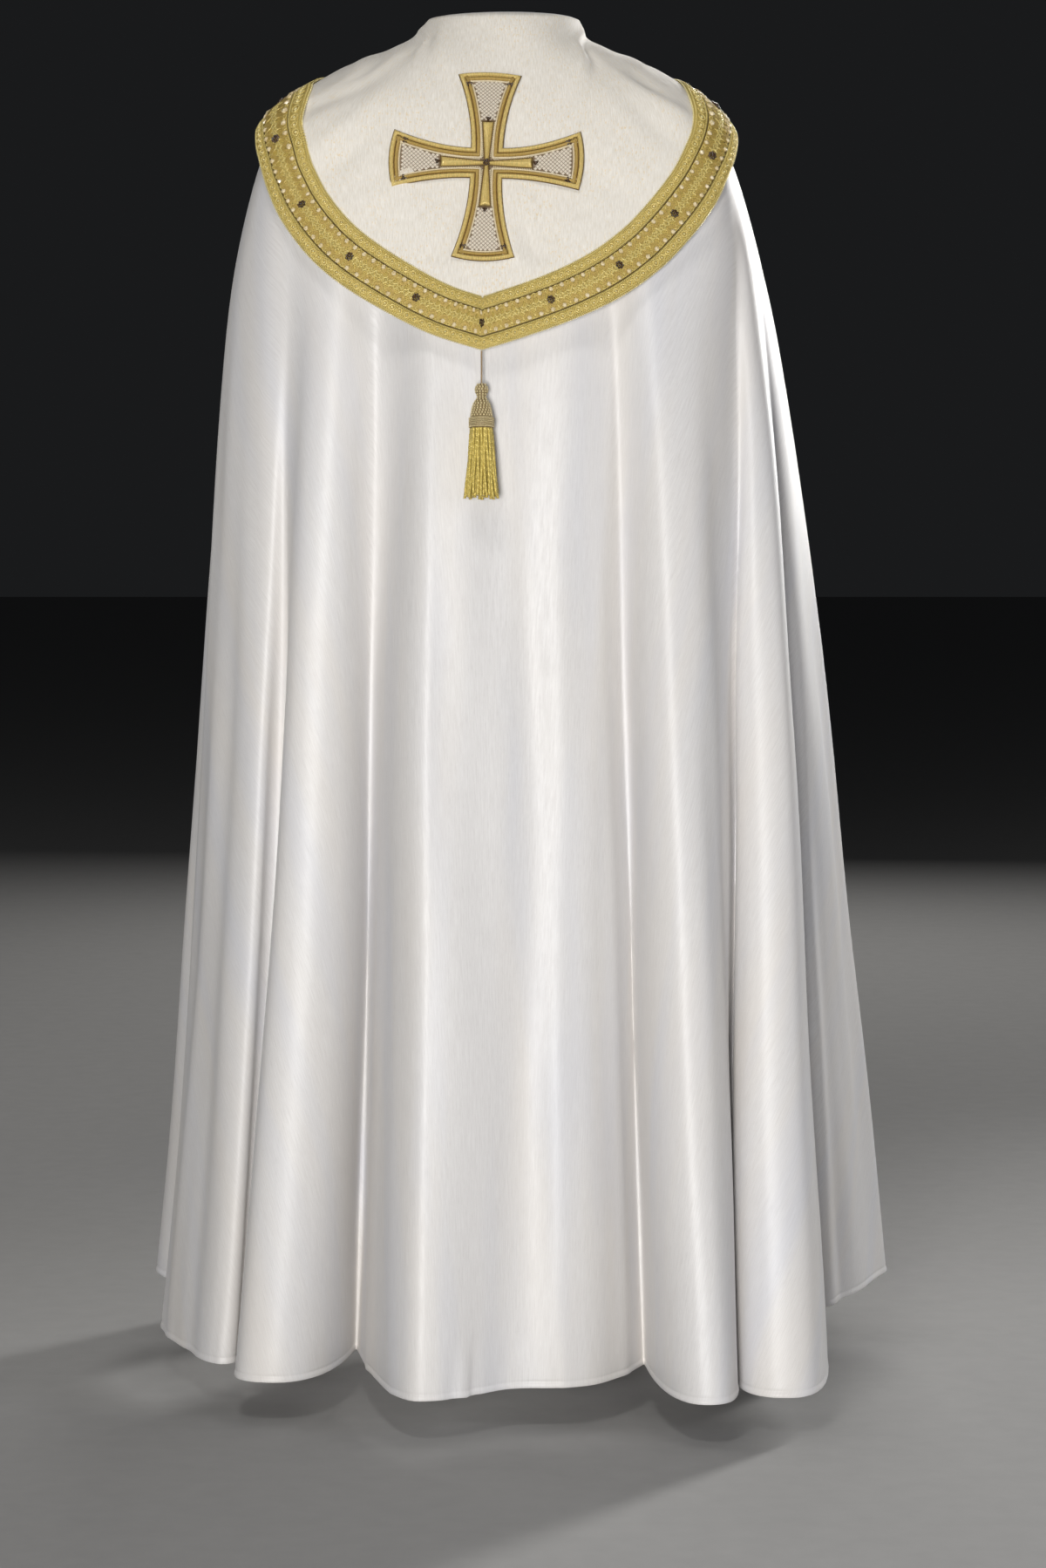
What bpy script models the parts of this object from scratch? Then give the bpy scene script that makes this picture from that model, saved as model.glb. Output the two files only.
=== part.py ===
"""A cope: a half-circle liturgical cape, worn open at the front, with a shield hood, its braid, a padded
cross and a tassel.

Metres, +Z up. The wearer faces +Y, so the hood is on the -Y side. The origin is the middle of the neck
opening, at the height where the cloth turns from the neck on to the shoulders.
A place on the cloth is given by two numbers: "turn", the share of the way round from the centre back (0)
to the right front edge (+1) or the left front edge (-1), and "down", the metres of cloth from the neck.
"""

import math
from collections import namedtuple
from functools import lru_cache

import bmesh
import bpy
from mathutils import Matrix, Vector

# Driving dimensions
COPE_LENGTH = 1.512  # neck edge to hem, down the centre back
COPE_CLOTH = 0.0020
HOOD_CLOTH = 0.0026  # two layers with a stiffening between them
BRAID_CLOTH = 0.0018
TAB_CLOTH = 0.0026
SEAM_GAP = 0.0003
LAID_GAP = 0.0005  # where a flat piece is laid over a curved one
BRAID_GAP = 0.0004  # under the braid and its borders, which follow the hood round the shoulders

FOLDS_START = 0.250  # down the cloth, where the shoulders let go of it
FOLD_TURN_RATE = 2.5  # a bend faces its way at the hem sooner than it reaches its depth there

HOOD_NECK_SETBACK = 0.0040
HOOD_LIFT = 0.0008  # of the hood, and the tab, from the cope where they lie on it
HOOD_STAND_OFF = 0.0150  # of the stiff hood from the folds, at its tip
HOOD_SIDE_STAND_OFF = 0.0085
HOOD_STAND_OFF_CURVE = 1.7  # how late down the hood it stands off
HOOD_COLUMNS = 32  # on each side of the tip
HOOD_CORNER = 0.29  # share of the way to the front end, where the shoulder turns
HOOD_CROWDING = 0.45

BRAID_WIDTH = 0.055
BRAID_SETBACK = 0.0006  # of the braid's outer edge from the hood's
CHAIN_WIDTH = 0.012  # each raised border of the braid
CHAIN_THICK = 0.0014
# where the two borders meet the middle of the braid, in from the hood's edge
CHAIN_SEAMS = (BRAID_WIDTH - 2 * BRAID_SETBACK - CHAIN_WIDTH, 2 * BRAID_SETBACK + CHAIN_WIDTH)

CROSS_X = -0.0240
CROSS_DOWN = 0.2025
CROSS_ARM_ACROSS = 0.0985  # centre to the corners of the arm's end
CROSS_ARM_DOWN = 0.1060
CROSS_ROOT_HALF = 0.0172
CROSS_END_HALF = 0.0335
CROSS_FLARE = 1.9  # how late an arm widens: 1 would be straight sides
CROSS_BOW = 0.0046  # how far an arm's end bows out between its corners
CROSS_LEAN = math.tan(math.radians(2.0))
CROSS_CLOTH = 0.0012
INNER_ARM = 0.0480
INNER_ROOT_HALF = 0.0017
INNER_END_HALF = 0.0064
INNER_RISE = 0.0034
INNER_EDGE_RISE = 0.0012

TASSEL_CORD_LENGTH = 0.0340
TASSEL_CORD_THICK = 0.0018
TASSEL_LEAN = math.radians(-7.0)  # it rests on the sloping cope
TASSEL_SECTORS = 32
STRAND_LENGTH = 0.0740
STRAND_STEPS = 3

TAB_TOP = 0.1500  # down the front edges of the cope
TAB_HEIGHT = 0.0600
TAB_LAP_TURN = 0.080

# Cross-sections of the cape before it is folded, from the neck down. Each is two half ovals about x = 0,
# y = middle, with the front gap left out. With a power of 2 a half is an oval, and with a higher one it is
# squarer.
Ring = namedtuple(
    "Ring", "name down left right middle back front back_z side_z front_z gap back_power front_power"
)
RINGS = (
    Ring("neck edge", 0.000, 0.084, 0.072, 0.000, 0.070, 0.078, 0.010, 0.010, -0.034, 0.050, 2.00, 2.00),
    Ring("neck foot", 0.033, 0.106, 0.084, 0.000, 0.086, 0.094, -0.016, -0.015, -0.050, 0.054, 2.00, 2.00),
    Ring("shoulder slope", 0.100, 0.177, 0.152, 0.000, 0.114, 0.125, -0.070, -0.049, -0.088, 0.058, 2.70, 2.25),
    Ring("shoulder point", 0.175, 0.252, 0.222, 0.002, 0.142, 0.152, -0.136, -0.108, -0.142, 0.062, 5.00, 2.60),
    Ring("upper arm", 0.245, 0.277, 0.249, 0.006, 0.164, 0.178, -0.202, -0.166, -0.202, 0.066, 4.20, 2.55),
    Ring("hood tip", 0.400, 0.316, 0.296, 0.015, 0.203, 0.225, -0.350, -0.340, -0.349, 0.072, 2.70, 2.50),
    Ring("elbow", 0.800, 0.353, 0.358, 0.052, 0.270, 0.262, -0.745, -0.741, -0.744, 0.082, 2.40, 2.40),
    Ring("knee", 1.160, 0.383, 0.402, 0.088, 0.336, 0.282, -1.103, -1.100, -1.102, 0.090, 2.40, 2.40),
    Ring("hem", COPE_LENGTH, 0.418, 0.446, 0.120, 0.400, 0.290, -1.454, -1.454, -1.454, 0.095, 2.50, 2.50),
)

# The folds. A crown or a valley starts from its turn on the smooth shoulders and runs straight down to its
# point on the hem. "facing" is the bearing that its bend looks towards, 0 at the back and 90 to the right;
# "round" is how far the bend reaches to each side; "lift" raises the hem; "steps" are faces to the next row.
Fold = namedtuple("Fold", "name turn x y facing round lift steps")
FOLDS = (
    Fold("left front edge", -1.000, -0.100, 0.402, -170, 0.030, 0.000, 4),
    Fold("left front valley", -0.915, -0.178, 0.352, -165, 0.030, 0.000, 5),
    Fold("left front crown", -0.820, -0.292, 0.402, -150, 0.050, 0.010, 6),
    Fold("left breast valley", -0.725, -0.322, 0.285, -120, 0.032, 0.018, 6),
    Fold("left arm crown", -0.630, -0.420, 0.250, -106, 0.050, 0.028, 5),
    Fold("left arm valley", -0.520, -0.352, 0.150, -92, 0.030, 0.018, 6),
    Fold("left side panel", -0.420, -0.395, 0.050, -70, 0.050, 0.000, 4),
    Fold("left side crown", -0.306, -0.328, -0.112, -38, 0.036, 0.000, 5),
    Fold("left side crease", -0.262, -0.288, -0.100, -5, 0.016, 0.000, 6),
    Fold("left tube", -0.208, -0.260, -0.204, -8, 0.074, 0.000, 6),
    Fold("left tube valley", -0.158, -0.201, -0.028, 0, 0.034, 0.000, 6),
    Fold("centre crown", -0.085, -0.091, -0.284, 8, 0.052, 0.000, 5),
    Fold("centre dip", 0.010, 0.004, -0.230, 20, 0.030, 0.000, 4),
    Fold("centre right crown", 0.078, 0.080, -0.218, 22, 0.034, 0.000, 4),
    Fold("right crease", 0.122, 0.167, -0.143, 15, 0.028, 0.000, 6),
    Fold("right tube", 0.183, 0.2065, -0.300, 0, 0.056, 0.000, 6),
    Fold("right tube valley", 0.242, 0.246, -0.150, 0, 0.022, 0.000, 6),
    Fold("outer tube", 0.340, 0.297, -0.253, 8, 0.086, -0.004, 6),
    Fold("outer tube valley", 0.400, 0.352, 0.010, 20, 0.034, 0.034, 6),
    Fold("right side crown", 0.520, 0.436, 0.182, 65, 0.072, 0.036, 6),
    Fold("right arm valley", 0.640, 0.366, 0.262, 105, 0.032, 0.030, 6),
    Fold("right arm crown", 0.735, 0.378, 0.392, 135, 0.052, 0.014, 6),
    Fold("right breast valley", 0.820, 0.266, 0.338, 150, 0.034, 0.006, 5),
    Fold("right front crown", 0.915, 0.192, 0.418, 165, 0.040, 0.000, 5),
    Fold("right front edge", 1.000, 0.099, 0.392, 172, 0.030, 0.000, 0),
)

# Where the rows of faces lie, in metres down the cloth
COPE_ROWS = (0.000, 0.016, 0.033, 0.062, 0.100, 0.138, 0.175, 0.210, 0.250, 0.310, 0.400, 0.520, 0.680, 0.860,
             1.060, 1.280, COPE_LENGTH)

# The hood's outer edge: turn, and metres of cloth from the neck. The tip is the row with the longest cloth.
HoodEdge = namedtuple("HoodEdge", "turn down")
HOOD_EDGE = (
    HoodEdge(-1.000, 0.140),
    HoodEdge(-0.780, 0.157),
    HoodEdge(-0.580, 0.173),
    HoodEdge(-0.460, 0.181),
    HoodEdge(-0.390, 0.186),
    HoodEdge(-0.350, 0.195),
    HoodEdge(-0.316, 0.216),
    HoodEdge(-0.291, 0.247),
    HoodEdge(-0.262, 0.281),
    HoodEdge(-0.208, 0.328),
    HoodEdge(-0.145, 0.365),
    HoodEdge(-0.085, 0.393),
    HoodEdge(-0.031, 0.409),
    HoodEdge(0.015, 0.396),
    HoodEdge(0.085, 0.374),
    HoodEdge(0.135, 0.354),
    HoodEdge(0.185, 0.326),
    HoodEdge(0.227, 0.295),
    HoodEdge(0.267, 0.262),
    HoodEdge(0.306, 0.227),
    HoodEdge(0.340, 0.205),
    HoodEdge(0.375, 0.193),
    HoodEdge(0.415, 0.186),
    HoodEdge(0.470, 0.181),
    HoodEdge(0.620, 0.172),
    HoodEdge(0.780, 0.159),
    HoodEdge(1.000, 0.140),
)
HOOD_TIP = max(HOOD_EDGE, key=lambda edge: edge.down)
HOOD_LEFT_EDGE = [edge for edge in HOOD_EDGE if edge.turn <= HOOD_TIP.turn]
HOOD_RIGHT_EDGE = [edge for edge in HOOD_EDGE if edge.turn >= HOOD_TIP.turn]

# The padded rolls round the cross: how far in from the outline, and how high above the ground
Roll = namedtuple("Roll", "inset height")
CROSS_ROLLS = (
    Roll(0.0000, LAID_GAP),
    Roll(0.0004, 0.0022),
    Roll(0.0034, 0.0042),
    Roll(0.0064, 0.0022),
    Roll(0.0070, 0.0012),
    Roll(0.0088, 0.0026),
    Roll(0.0104, 0.0012),
    Roll(0.0106, LAID_GAP),
)

# The tassel's head, turned about its axis from the top down
Turning = namedtuple("Turning", "name radius below")
TASSEL_HEAD = (
    Turning("cord knot", 0.0016, 0.0000),
    Turning("ball top", 0.0044, 0.0010),
    Turning("ball", 0.0068, 0.0062),
    Turning("ball foot", 0.0046, 0.0122),
    Turning("neck", 0.0042, 0.0150),
    Turning("bell top", 0.0062, 0.0176),
    Turning("bell", 0.0100, 0.0262),
    Turning("bell foot", 0.0114, 0.0352),
    Turning("band top", 0.0127, 0.0366),
    Turning("band", 0.0127, 0.0462),
    Turning("band foot", 0.0119, 0.0474),
)

# Its two rings of bullion strands: where each root starts and ends, and how far it has spread at the tips
StrandRing = namedtuple("StrandRing", "outer inner sector spread_across spread_deep")
STRAND_RINGS = (
    StrandRing(0.0112, 0.0086, 0, 0.0074, 0.0026),
    StrandRing(0.0078, 0.0050, 1, 0.0052, 0.0022),
)


def column(table, key, value, at):
    """A smooth curve through one column of a table: a monotone cubic, so it never overshoots a row."""
    keys = [getattr(row, key) for row in table]
    values = [getattr(row, value) for row in table]
    at = min(max(at, keys[0]), keys[-1])
    last = len(keys) - 1
    i = max(k for k in range(last) if keys[k] <= at)
    slopes = [(values[k + 1] - values[k]) / (keys[k + 1] - keys[k]) for k in range(last)]

    def tangent(k):
        if k in (0, last):
            return slopes[min(k, last - 1)]
        before, after = slopes[k - 1], slopes[k]
        return 2 * before * after / (before + after) if before * after > 0 else 0.0

    span = keys[i + 1] - keys[i]
    q = (at - keys[i]) / span
    return (
        (1 + 2 * q) * (1 - q) ** 2 * values[i]
        + q * (1 - q) ** 2 * span * tangent(i)
        + q * q * (3 - 2 * q) * values[i + 1]
        - q * q * (1 - q) * span * tangent(i + 1)
    )


@lru_cache(maxsize=None)
def ring_at(down):
    """The smooth cross-section at this distance down the cloth."""
    return Ring("", down, *(column(RINGS, "down", field, down) for field in Ring._fields[2:]))


def ring_point(ring, turn):
    """A point of a smooth cross-section."""
    half_width = ring.left if turn < 0 else ring.right
    bearing = turn * (math.pi - math.asin(ring.gap / half_width))
    if math.cos(bearing) > 0:
        depth, end_z, power = ring.back, ring.back_z, ring.back_power
    else:
        depth, end_z, power = ring.front, ring.front_z, ring.front_power
    corner = (abs(math.sin(bearing)) ** power + abs(math.cos(bearing)) ** power) ** (-1 / power)
    return Vector((
        half_width * math.sin(bearing) * corner,
        ring.middle - depth * math.cos(bearing) * corner,
        ring.side_z + (end_z - ring.side_z) * math.cos(bearing) ** 2,
    ))


def smooth_point(turn, down, out=0.0):
    """A point of the cape before it is folded, moved straight out of the cloth."""
    ring = ring_at(down)
    point = ring_point(ring, turn)
    if out == 0.0:
        return point
    reach = 0.002
    along = ring_point(ring, min(turn + reach, 1.0)) - ring_point(ring, max(turn - reach, -1.0))
    below = ring_point(ring_at(down + reach), turn) - ring_point(ring_at(max(down - reach, 0.0)), turn)
    return point + below.cross(along).normalized() * out


def fold_growth(down):
    """How much of its hem depth a fold has here: none on the shoulders, all at the hem."""
    return max(0.0, (down - FOLDS_START) / (COPE_LENGTH - FOLDS_START))


def fold_bend(ring, hem_ring, fold, growth):
    """Where a crown or a valley crosses a section, and the direction of the cloth there, one unit long."""
    hem_move = Vector((fold.x, fold.y, hem_ring.side_z + fold.lift)) - ring_point(hem_ring, fold.turn)
    reach = 0.002
    smooth_way = ring_point(ring, min(fold.turn + reach, 1.0)) - ring_point(ring, max(fold.turn - reach, -1.0))
    facing = math.radians(fold.facing)
    hem_way = Vector((math.cos(facing), math.sin(facing), 0.0))
    way = smooth_way.normalized().lerp(hem_way, min(1.0, FOLD_TURN_RATE * growth))
    return ring_point(ring, fold.turn) + hem_move * growth, way.normalized()


def cope_row(down):
    """The points of the folded cape at this distance down the cloth, from the left front edge to the right."""
    ring, hem_ring = ring_at(down), ring_at(COPE_LENGTH)
    growth = fold_growth(down)
    bends = [fold_bend(ring, hem_ring, fold, growth) for fold in FOLDS]
    points = []
    for i in range(len(FOLDS) - 1):
        (start, start_way), (end, end_way) = bends[i], bends[i + 1]
        third = (end - start).length / 3
        start_reach = third + (FOLDS[i].round - third) * growth
        end_reach = third + (FOLDS[i + 1].round - third) * growth
        for step in range(FOLDS[i].steps):
            share = step / FOLDS[i].steps
            points.append(bezier(start, start + start_way * start_reach, end - end_way * end_reach, end, share))
    return points + [bends[-1][0]]


def bezier(a, b, c, d, q):
    return a * (1 - q) ** 3 + b * (3 * q * (1 - q) ** 2) + c * (3 * q * q * (1 - q)) + d * q**3


@lru_cache(maxsize=None)
def hood_edge_down(turn):
    """How far down the cloth the hood reaches."""
    side = HOOD_LEFT_EDGE if turn <= HOOD_TIP.turn else HOOD_RIGHT_EDGE
    return column(side, "turn", "down", turn)


@lru_cache(maxsize=None)
def braid_top_down(turn, width):
    """The upper edge of a band of this width along the hood's edge, which leans by the edge's slope."""
    reach = 0.004
    edge = hood_edge_down(turn)
    before, after = max(turn - reach, -1.0), min(turn + reach, 1.0)
    if before < HOOD_TIP.turn < after:
        before, after = HOOD_TIP.turn, HOOD_TIP.turn + reach
    run = (smooth_point(after, edge) - smooth_point(before, edge)).length
    slope = (hood_edge_down(after) - hood_edge_down(before)) / run
    return edge - width * math.sqrt(1 + slope * slope)


def hood_point(turn, down, out=0.0):
    """A point of the hood's outer face, moved out."""
    share = down / hood_edge_down(turn)
    back = (1 - abs(turn)) ** 2
    stand_off = HOOD_SIDE_STAND_OFF + (HOOD_STAND_OFF - HOOD_SIDE_STAND_OFF) * back
    return smooth_point(turn, down, HOOD_LIFT + stand_off * share**HOOD_STAND_OFF_CURVE + HOOD_CLOTH + out)


def closer_at_corner(share):
    """A share of the way from the tip to a front end, with the columns crowded at the shoulder's corner."""
    wave = 2 * math.pi
    crowding = HOOD_CROWDING * math.sin(wave * (share - HOOD_CORNER)) / wave
    return share - crowding - HOOD_CROWDING * math.sin(wave * HOOD_CORNER) / wave


def hood_turns():
    """The hood's columns, from its left front end by way of the tip to its right front end."""
    shares = [closer_at_corner(i / HOOD_COLUMNS) for i in range(HOOD_COLUMNS + 1)]
    left = [mix(HOOD_TIP.turn, -1.0, share) for share in shares[:0:-1]]
    right = [mix(HOOD_TIP.turn, 1.0, share) for share in shares]
    return left + right


def band_rows(widths, out):
    """Rows of points along the hood's edge, each at its own distance in from it."""
    return [[hood_point(turn, braid_top_down(turn, width), out) for turn in hood_turns()] for width in widths]


def mix(a, b, share):
    return a + (b - a) * share


def hood_turn_at(x, down):
    """The turn at which the hood, at this distance down, reaches x."""
    low, high = -0.5, 0.5
    while high - low > 1e-5:
        middle = (low + high) / 2
        low, high = (middle, high) if smooth_point(middle, down).x < x else (low, middle)
    return low


def on_hood(across, up, out):
    """A point of the flat cross, laid on the hood's outer face."""
    down = CROSS_DOWN - up
    return hood_point(hood_turn_at(CROSS_X + across + up * CROSS_LEAN, down), down, out)


def cross_arm_point(length, share, side):
    """A point of an arm that points up: its share of the way out, and its side from -1 to 1."""
    half_width = mix(CROSS_ROOT_HALF, CROSS_END_HALF, share**CROSS_FLARE)
    bow = CROSS_BOW * (1 - side * side) * share * share
    return Vector((side * half_width, mix(CROSS_ROOT_HALF, length, share) + bow))


def inner_arm_point(share, side):
    """A point of the small cross's arm that points up."""
    half_width = mix(INNER_ROOT_HALF, INNER_END_HALF, share)
    return Vector((side * half_width, mix(INNER_ROOT_HALF, INNER_ARM, share)))


def quarter_turns(point, quarters):
    """A point turned clockwise by quarters of a turn."""
    for _ in range(quarters):
        point = Vector((point.y, -point.x))
    return point


def arm_length(quarters):
    return CROSS_ARM_DOWN if quarters % 2 == 0 else CROSS_ARM_ACROSS


def cross_outline():
    """The big cross's outline, clockwise from the top arm's left root."""
    side_shares = (0.0, 0.25, 0.5, 0.75)
    end_sides = (-1.0, -0.5, 0.0, 0.5, 1.0)
    points = []
    for quarters in range(4):
        length = arm_length(quarters)
        climb = [cross_arm_point(length, share, -1.0) for share in side_shares]
        end = [cross_arm_point(length, 1.0, side) for side in end_sides]
        fall = [cross_arm_point(length, share, 1.0) for share in side_shares[:0:-1]]
        points += [quarter_turns(point, quarters) for point in climb + end + fall]
    return points


def inset(outline, distance):
    """A clockwise closed outline moved inwards, its corners mitred."""
    moved = []
    for i, point in enumerate(outline):
        before = (point - outline[i - 1]).normalized()
        after = (outline[(i + 1) % len(outline)] - point).normalized()
        inwards = Vector((before.y + after.y, -before.x - after.x)).normalized()
        half_turn = inwards.dot(Vector((before.y, -before.x)))
        moved.append(point + inwards * (distance / half_turn))
    return moved


def cross_patches(root_half, arm_point, shares, sides):
    """A cross as grids of flat points: its middle square, then its four arms."""
    patches = [[[Vector((side * root_half, -row * root_half)) for side in sides] for row in sides]]
    for quarters in range(4):
        patches.append([
            [quarter_turns(arm_point(quarters, share, side), quarters) for side in sides]
            for share in reversed(shares)
        ])
    return patches


def material(name, colour, roughness, metallic=0.0):
    made = bpy.data.materials.new(name)
    made.use_nodes = True
    shader = made.node_tree.nodes["Principled BSDF"]
    shader.inputs["Base Color"].default_value = (*colour, 1.0)
    shader.inputs["Roughness"].default_value = roughness
    shader.inputs["Metallic"].default_value = metallic
    return made


def add_object(name, mesh, finish):
    """Turns a bmesh into a named object."""
    mesh_data = bpy.data.meshes.new(name)
    mesh.to_mesh(mesh_data)
    mesh.free()
    made = bpy.data.objects.new(name, mesh_data)
    bpy.context.scene.collection.objects.link(made)
    mesh_data.materials.append(finish)
    mesh_data.shade_smooth()
    mesh_data.set_sharp_from_angle(angle=math.radians(40))
    return made


def add_grid(mesh, rows, flip=False):
    """Faces between rows of points, which look outwards when the rows run down and to the right."""
    grid = [[mesh.verts.new(point) for point in row] for row in rows]
    for upper, lower in zip(grid, grid[1:]):
        for i in range(len(upper) - 1):
            corners = (upper[i], lower[i], lower[i + 1], upper[i + 1])
            mesh.faces.new(corners[::-1] if flip else corners)


def cloth_panel(name, patches, thickness, finish):
    """A wall of cloth: grids of points on its outer face, thickened inwards."""
    mesh = bmesh.new()
    for rows in patches:
        add_grid(mesh, rows)
    bmesh.ops.remove_doubles(mesh, verts=mesh.verts, dist=0.00001)
    made = add_object(name, mesh, finish)
    wall = made.modifiers.new("wall", "SOLIDIFY")
    wall.thickness = thickness
    wall.offset = -1.0
    wall.use_even_offset = True
    return made


def make_cope(finish):
    cloth_panel("cope_body", [[cope_row(down) for down in COPE_ROWS]], COPE_CLOTH, finish)


def make_hood(finish):
    """The shield hood: down to the neck's foot its rows follow the cope's, then they fan out to its edge."""
    neck_rows = (HOOD_NECK_SETBACK, *[down for down in COPE_ROWS if 0 < down < 0.07])
    rows = [[hood_point(turn, down) for turn in hood_turns()] for down in neck_rows]
    for share in (0.15, 0.31, 0.48, 0.65, 0.82):
        downs = [mix(neck_rows[-1], braid_top_down(turn, BRAID_WIDTH), share) for turn in hood_turns()]
        rows.append([hood_point(turn, down) for turn, down in zip(hood_turns(), downs)])
    rows += band_rows((BRAID_WIDTH, *CHAIN_SEAMS, 0.0), 0.0)
    cloth_panel("hood", [rows], HOOD_CLOTH, finish)


def make_braid(band_finish, chain_finish):
    """The wide braid on the hood's edge, and the raised chain border along each of its own edges."""
    band_out = BRAID_GAP + BRAID_CLOTH
    rows = band_rows((BRAID_WIDTH - BRAID_SETBACK, *CHAIN_SEAMS, BRAID_SETBACK), band_out)
    cloth_panel("hood_braid", [rows], BRAID_CLOTH, band_finish)
    chain_out = band_out + BRAID_GAP + CHAIN_THICK
    inner_seam, outer_seam = CHAIN_SEAMS
    rows = band_rows((outer_seam, outer_seam - CHAIN_WIDTH), chain_out)
    cloth_panel("braid_outer_chain", [rows], CHAIN_THICK, chain_finish)
    rows = band_rows((inner_seam + CHAIN_WIDTH, inner_seam), chain_out)
    cloth_panel("braid_inner_chain", [rows], CHAIN_THICK, chain_finish)


def make_cross_ground(finish):
    shares = (0.0, 0.25, 0.5, 0.75, 1.0)
    sides = (-1.0, -0.5, 0.0, 0.5, 1.0)

    def arm(quarters, share, side):
        return cross_arm_point(arm_length(quarters), share, side)

    patches = [
        [[on_hood(point.x, point.y, LAID_GAP + CROSS_CLOTH) for point in row] for row in rows]
        for rows in cross_patches(CROSS_ROOT_HALF, arm, shares, sides)
    ]
    cloth_panel("cross_ground", patches, CROSS_CLOTH, finish)


def make_cross_frame(finish):
    """The padded rolls round the cross: a profile carried round its outline."""
    mesh = bmesh.new()
    outline = cross_outline()
    loops = []
    for roll in CROSS_ROLLS:
        out = LAID_GAP + CROSS_CLOTH + roll.height
        loops.append([mesh.verts.new(on_hood(point.x, point.y, out)) for point in inset(outline, roll.inset)])
    for i in range(len(loops)):
        outer, inner = loops[i - 1], loops[i]
        for k in range(len(outline)):
            mesh.faces.new((outer[k - 1], inner[k - 1], inner[k], outer[k]))
    bmesh.ops.recalc_face_normals(mesh, faces=mesh.faces)
    add_object("cross_frame", mesh, finish)


def make_inner_cross(finish):
    """The small raised cross in the middle: flat below, and a soft ridge along each arm."""
    shares = (0.0, 0.33, 0.67, 1.0)
    sides = (-1.0, -0.5, 0.0, 0.5, 1.0)
    base = 2 * LAID_GAP + CROSS_CLOTH
    mesh = bmesh.new()

    def arm(quarters, share, side):
        return inner_arm_point(share, side)

    def rise(point):
        along, across = max(abs(point.x), abs(point.y)), min(abs(point.x), abs(point.y))
        share = max(0.0, (along - INNER_ROOT_HALF) / (INNER_ARM - INNER_ROOT_HALF))
        edge = min(1.0, across / mix(INNER_ROOT_HALF, INNER_END_HALF, share))
        return mix(INNER_RISE, INNER_EDGE_RISE, edge * edge)

    for rows in cross_patches(INNER_ROOT_HALF, arm, shares, sides):
        add_grid(mesh, [[on_hood(point.x, point.y, base + rise(point)) for point in row] for row in rows])
        add_grid(mesh, [[on_hood(point.x, point.y, base) for point in row] for row in rows], flip=True)
    bmesh.ops.remove_doubles(mesh, verts=mesh.verts, dist=0.00001)
    bmesh.ops.bridge_loops(mesh, edges=[edge for edge in mesh.edges if edge.is_boundary])
    bmesh.ops.recalc_face_normals(mesh, faces=mesh.faces)
    add_object("cross_centre", mesh, finish)


def tassel_place():
    """Where the tassel's own frame stands: its origin on the top of the head, its axis leaning on the cope."""
    tip = hood_point(HOOD_TIP.turn, HOOD_TIP.down, -HOOD_CLOTH / 2)
    lean = Matrix.Rotation(TASSEL_LEAN, 4, "X")
    hang = TASSEL_CORD_LENGTH + LAID_GAP + SEAM_GAP
    return Matrix.Translation(tip) @ lean @ Matrix.Translation((0.0, 0.0, -hang))


def make_tassel_cord(finish):
    mesh = bmesh.new()
    centre = Matrix.Translation((0.0, 0.0, TASSEL_CORD_LENGTH / 2 + SEAM_GAP))
    bmesh.ops.create_cone(
        mesh,
        cap_ends=True,
        segments=8,
        radius1=TASSEL_CORD_THICK / 2,
        radius2=TASSEL_CORD_THICK / 2,
        depth=TASSEL_CORD_LENGTH,
        matrix=tassel_place() @ centre,
    )
    add_object("tassel_cord", mesh, finish)


def make_tassel(finish):
    """The head is turned; the strands grow from squares of its underside, so they are one piece with it."""
    mesh = bmesh.new()
    step = 2 * math.pi / TASSEL_SECTORS
    foot = TASSEL_HEAD[-1]
    turned = [(turning.radius, turning.below) for turning in TASSEL_HEAD]
    turned += [(radius, foot.below) for ring in STRAND_RINGS for radius in (ring.outer, ring.inner)]
    rings = []
    for radius, below in turned:
        spokes = [(math.cos(k * step), math.sin(k * step)) for k in range(TASSEL_SECTORS)]
        rings.append([mesh.verts.new((radius * x, radius * y, -below)) for x, y in spokes])
    mesh.faces.new(rings[0])
    mesh.faces.new(rings[-1][::-1])
    faces = {}
    for i, (upper, lower) in enumerate(zip(rings, rings[1:])):
        for k in range(TASSEL_SECTORS):
            after = (k + 1) % TASSEL_SECTORS
            faces[i, k] = mesh.faces.new((upper[k], lower[k], lower[after], upper[after]))
    for number, ring in enumerate(STRAND_RINGS):
        row = len(TASSEL_HEAD) + 2 * number
        for k in range(ring.sector, TASSEL_SECTORS, 2):
            grow_strand(mesh, faces[row, k], ring)
    mesh.transform(tassel_place())
    add_object("tassel", mesh, finish)


def grow_strand(mesh, root, ring):
    """Draws one face of the tassel's underside down into a strand that spreads from the others."""
    middle = root.calc_center_median()
    aside = Vector((middle.x, middle.y, 0.0)).normalized()
    spread = Vector((aside.x * ring.spread_across, aside.y * ring.spread_deep, -STRAND_LENGTH)) / STRAND_STEPS
    face = root
    for _ in range(STRAND_STEPS):
        grown = bmesh.ops.extrude_face_region(mesh, geom=[face])
        mesh.faces.remove(face)
        face = next(item for item in grown["geom"] if isinstance(item, bmesh.types.BMFace))
        bmesh.ops.translate(mesh, verts=face.verts, vec=spread)


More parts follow.
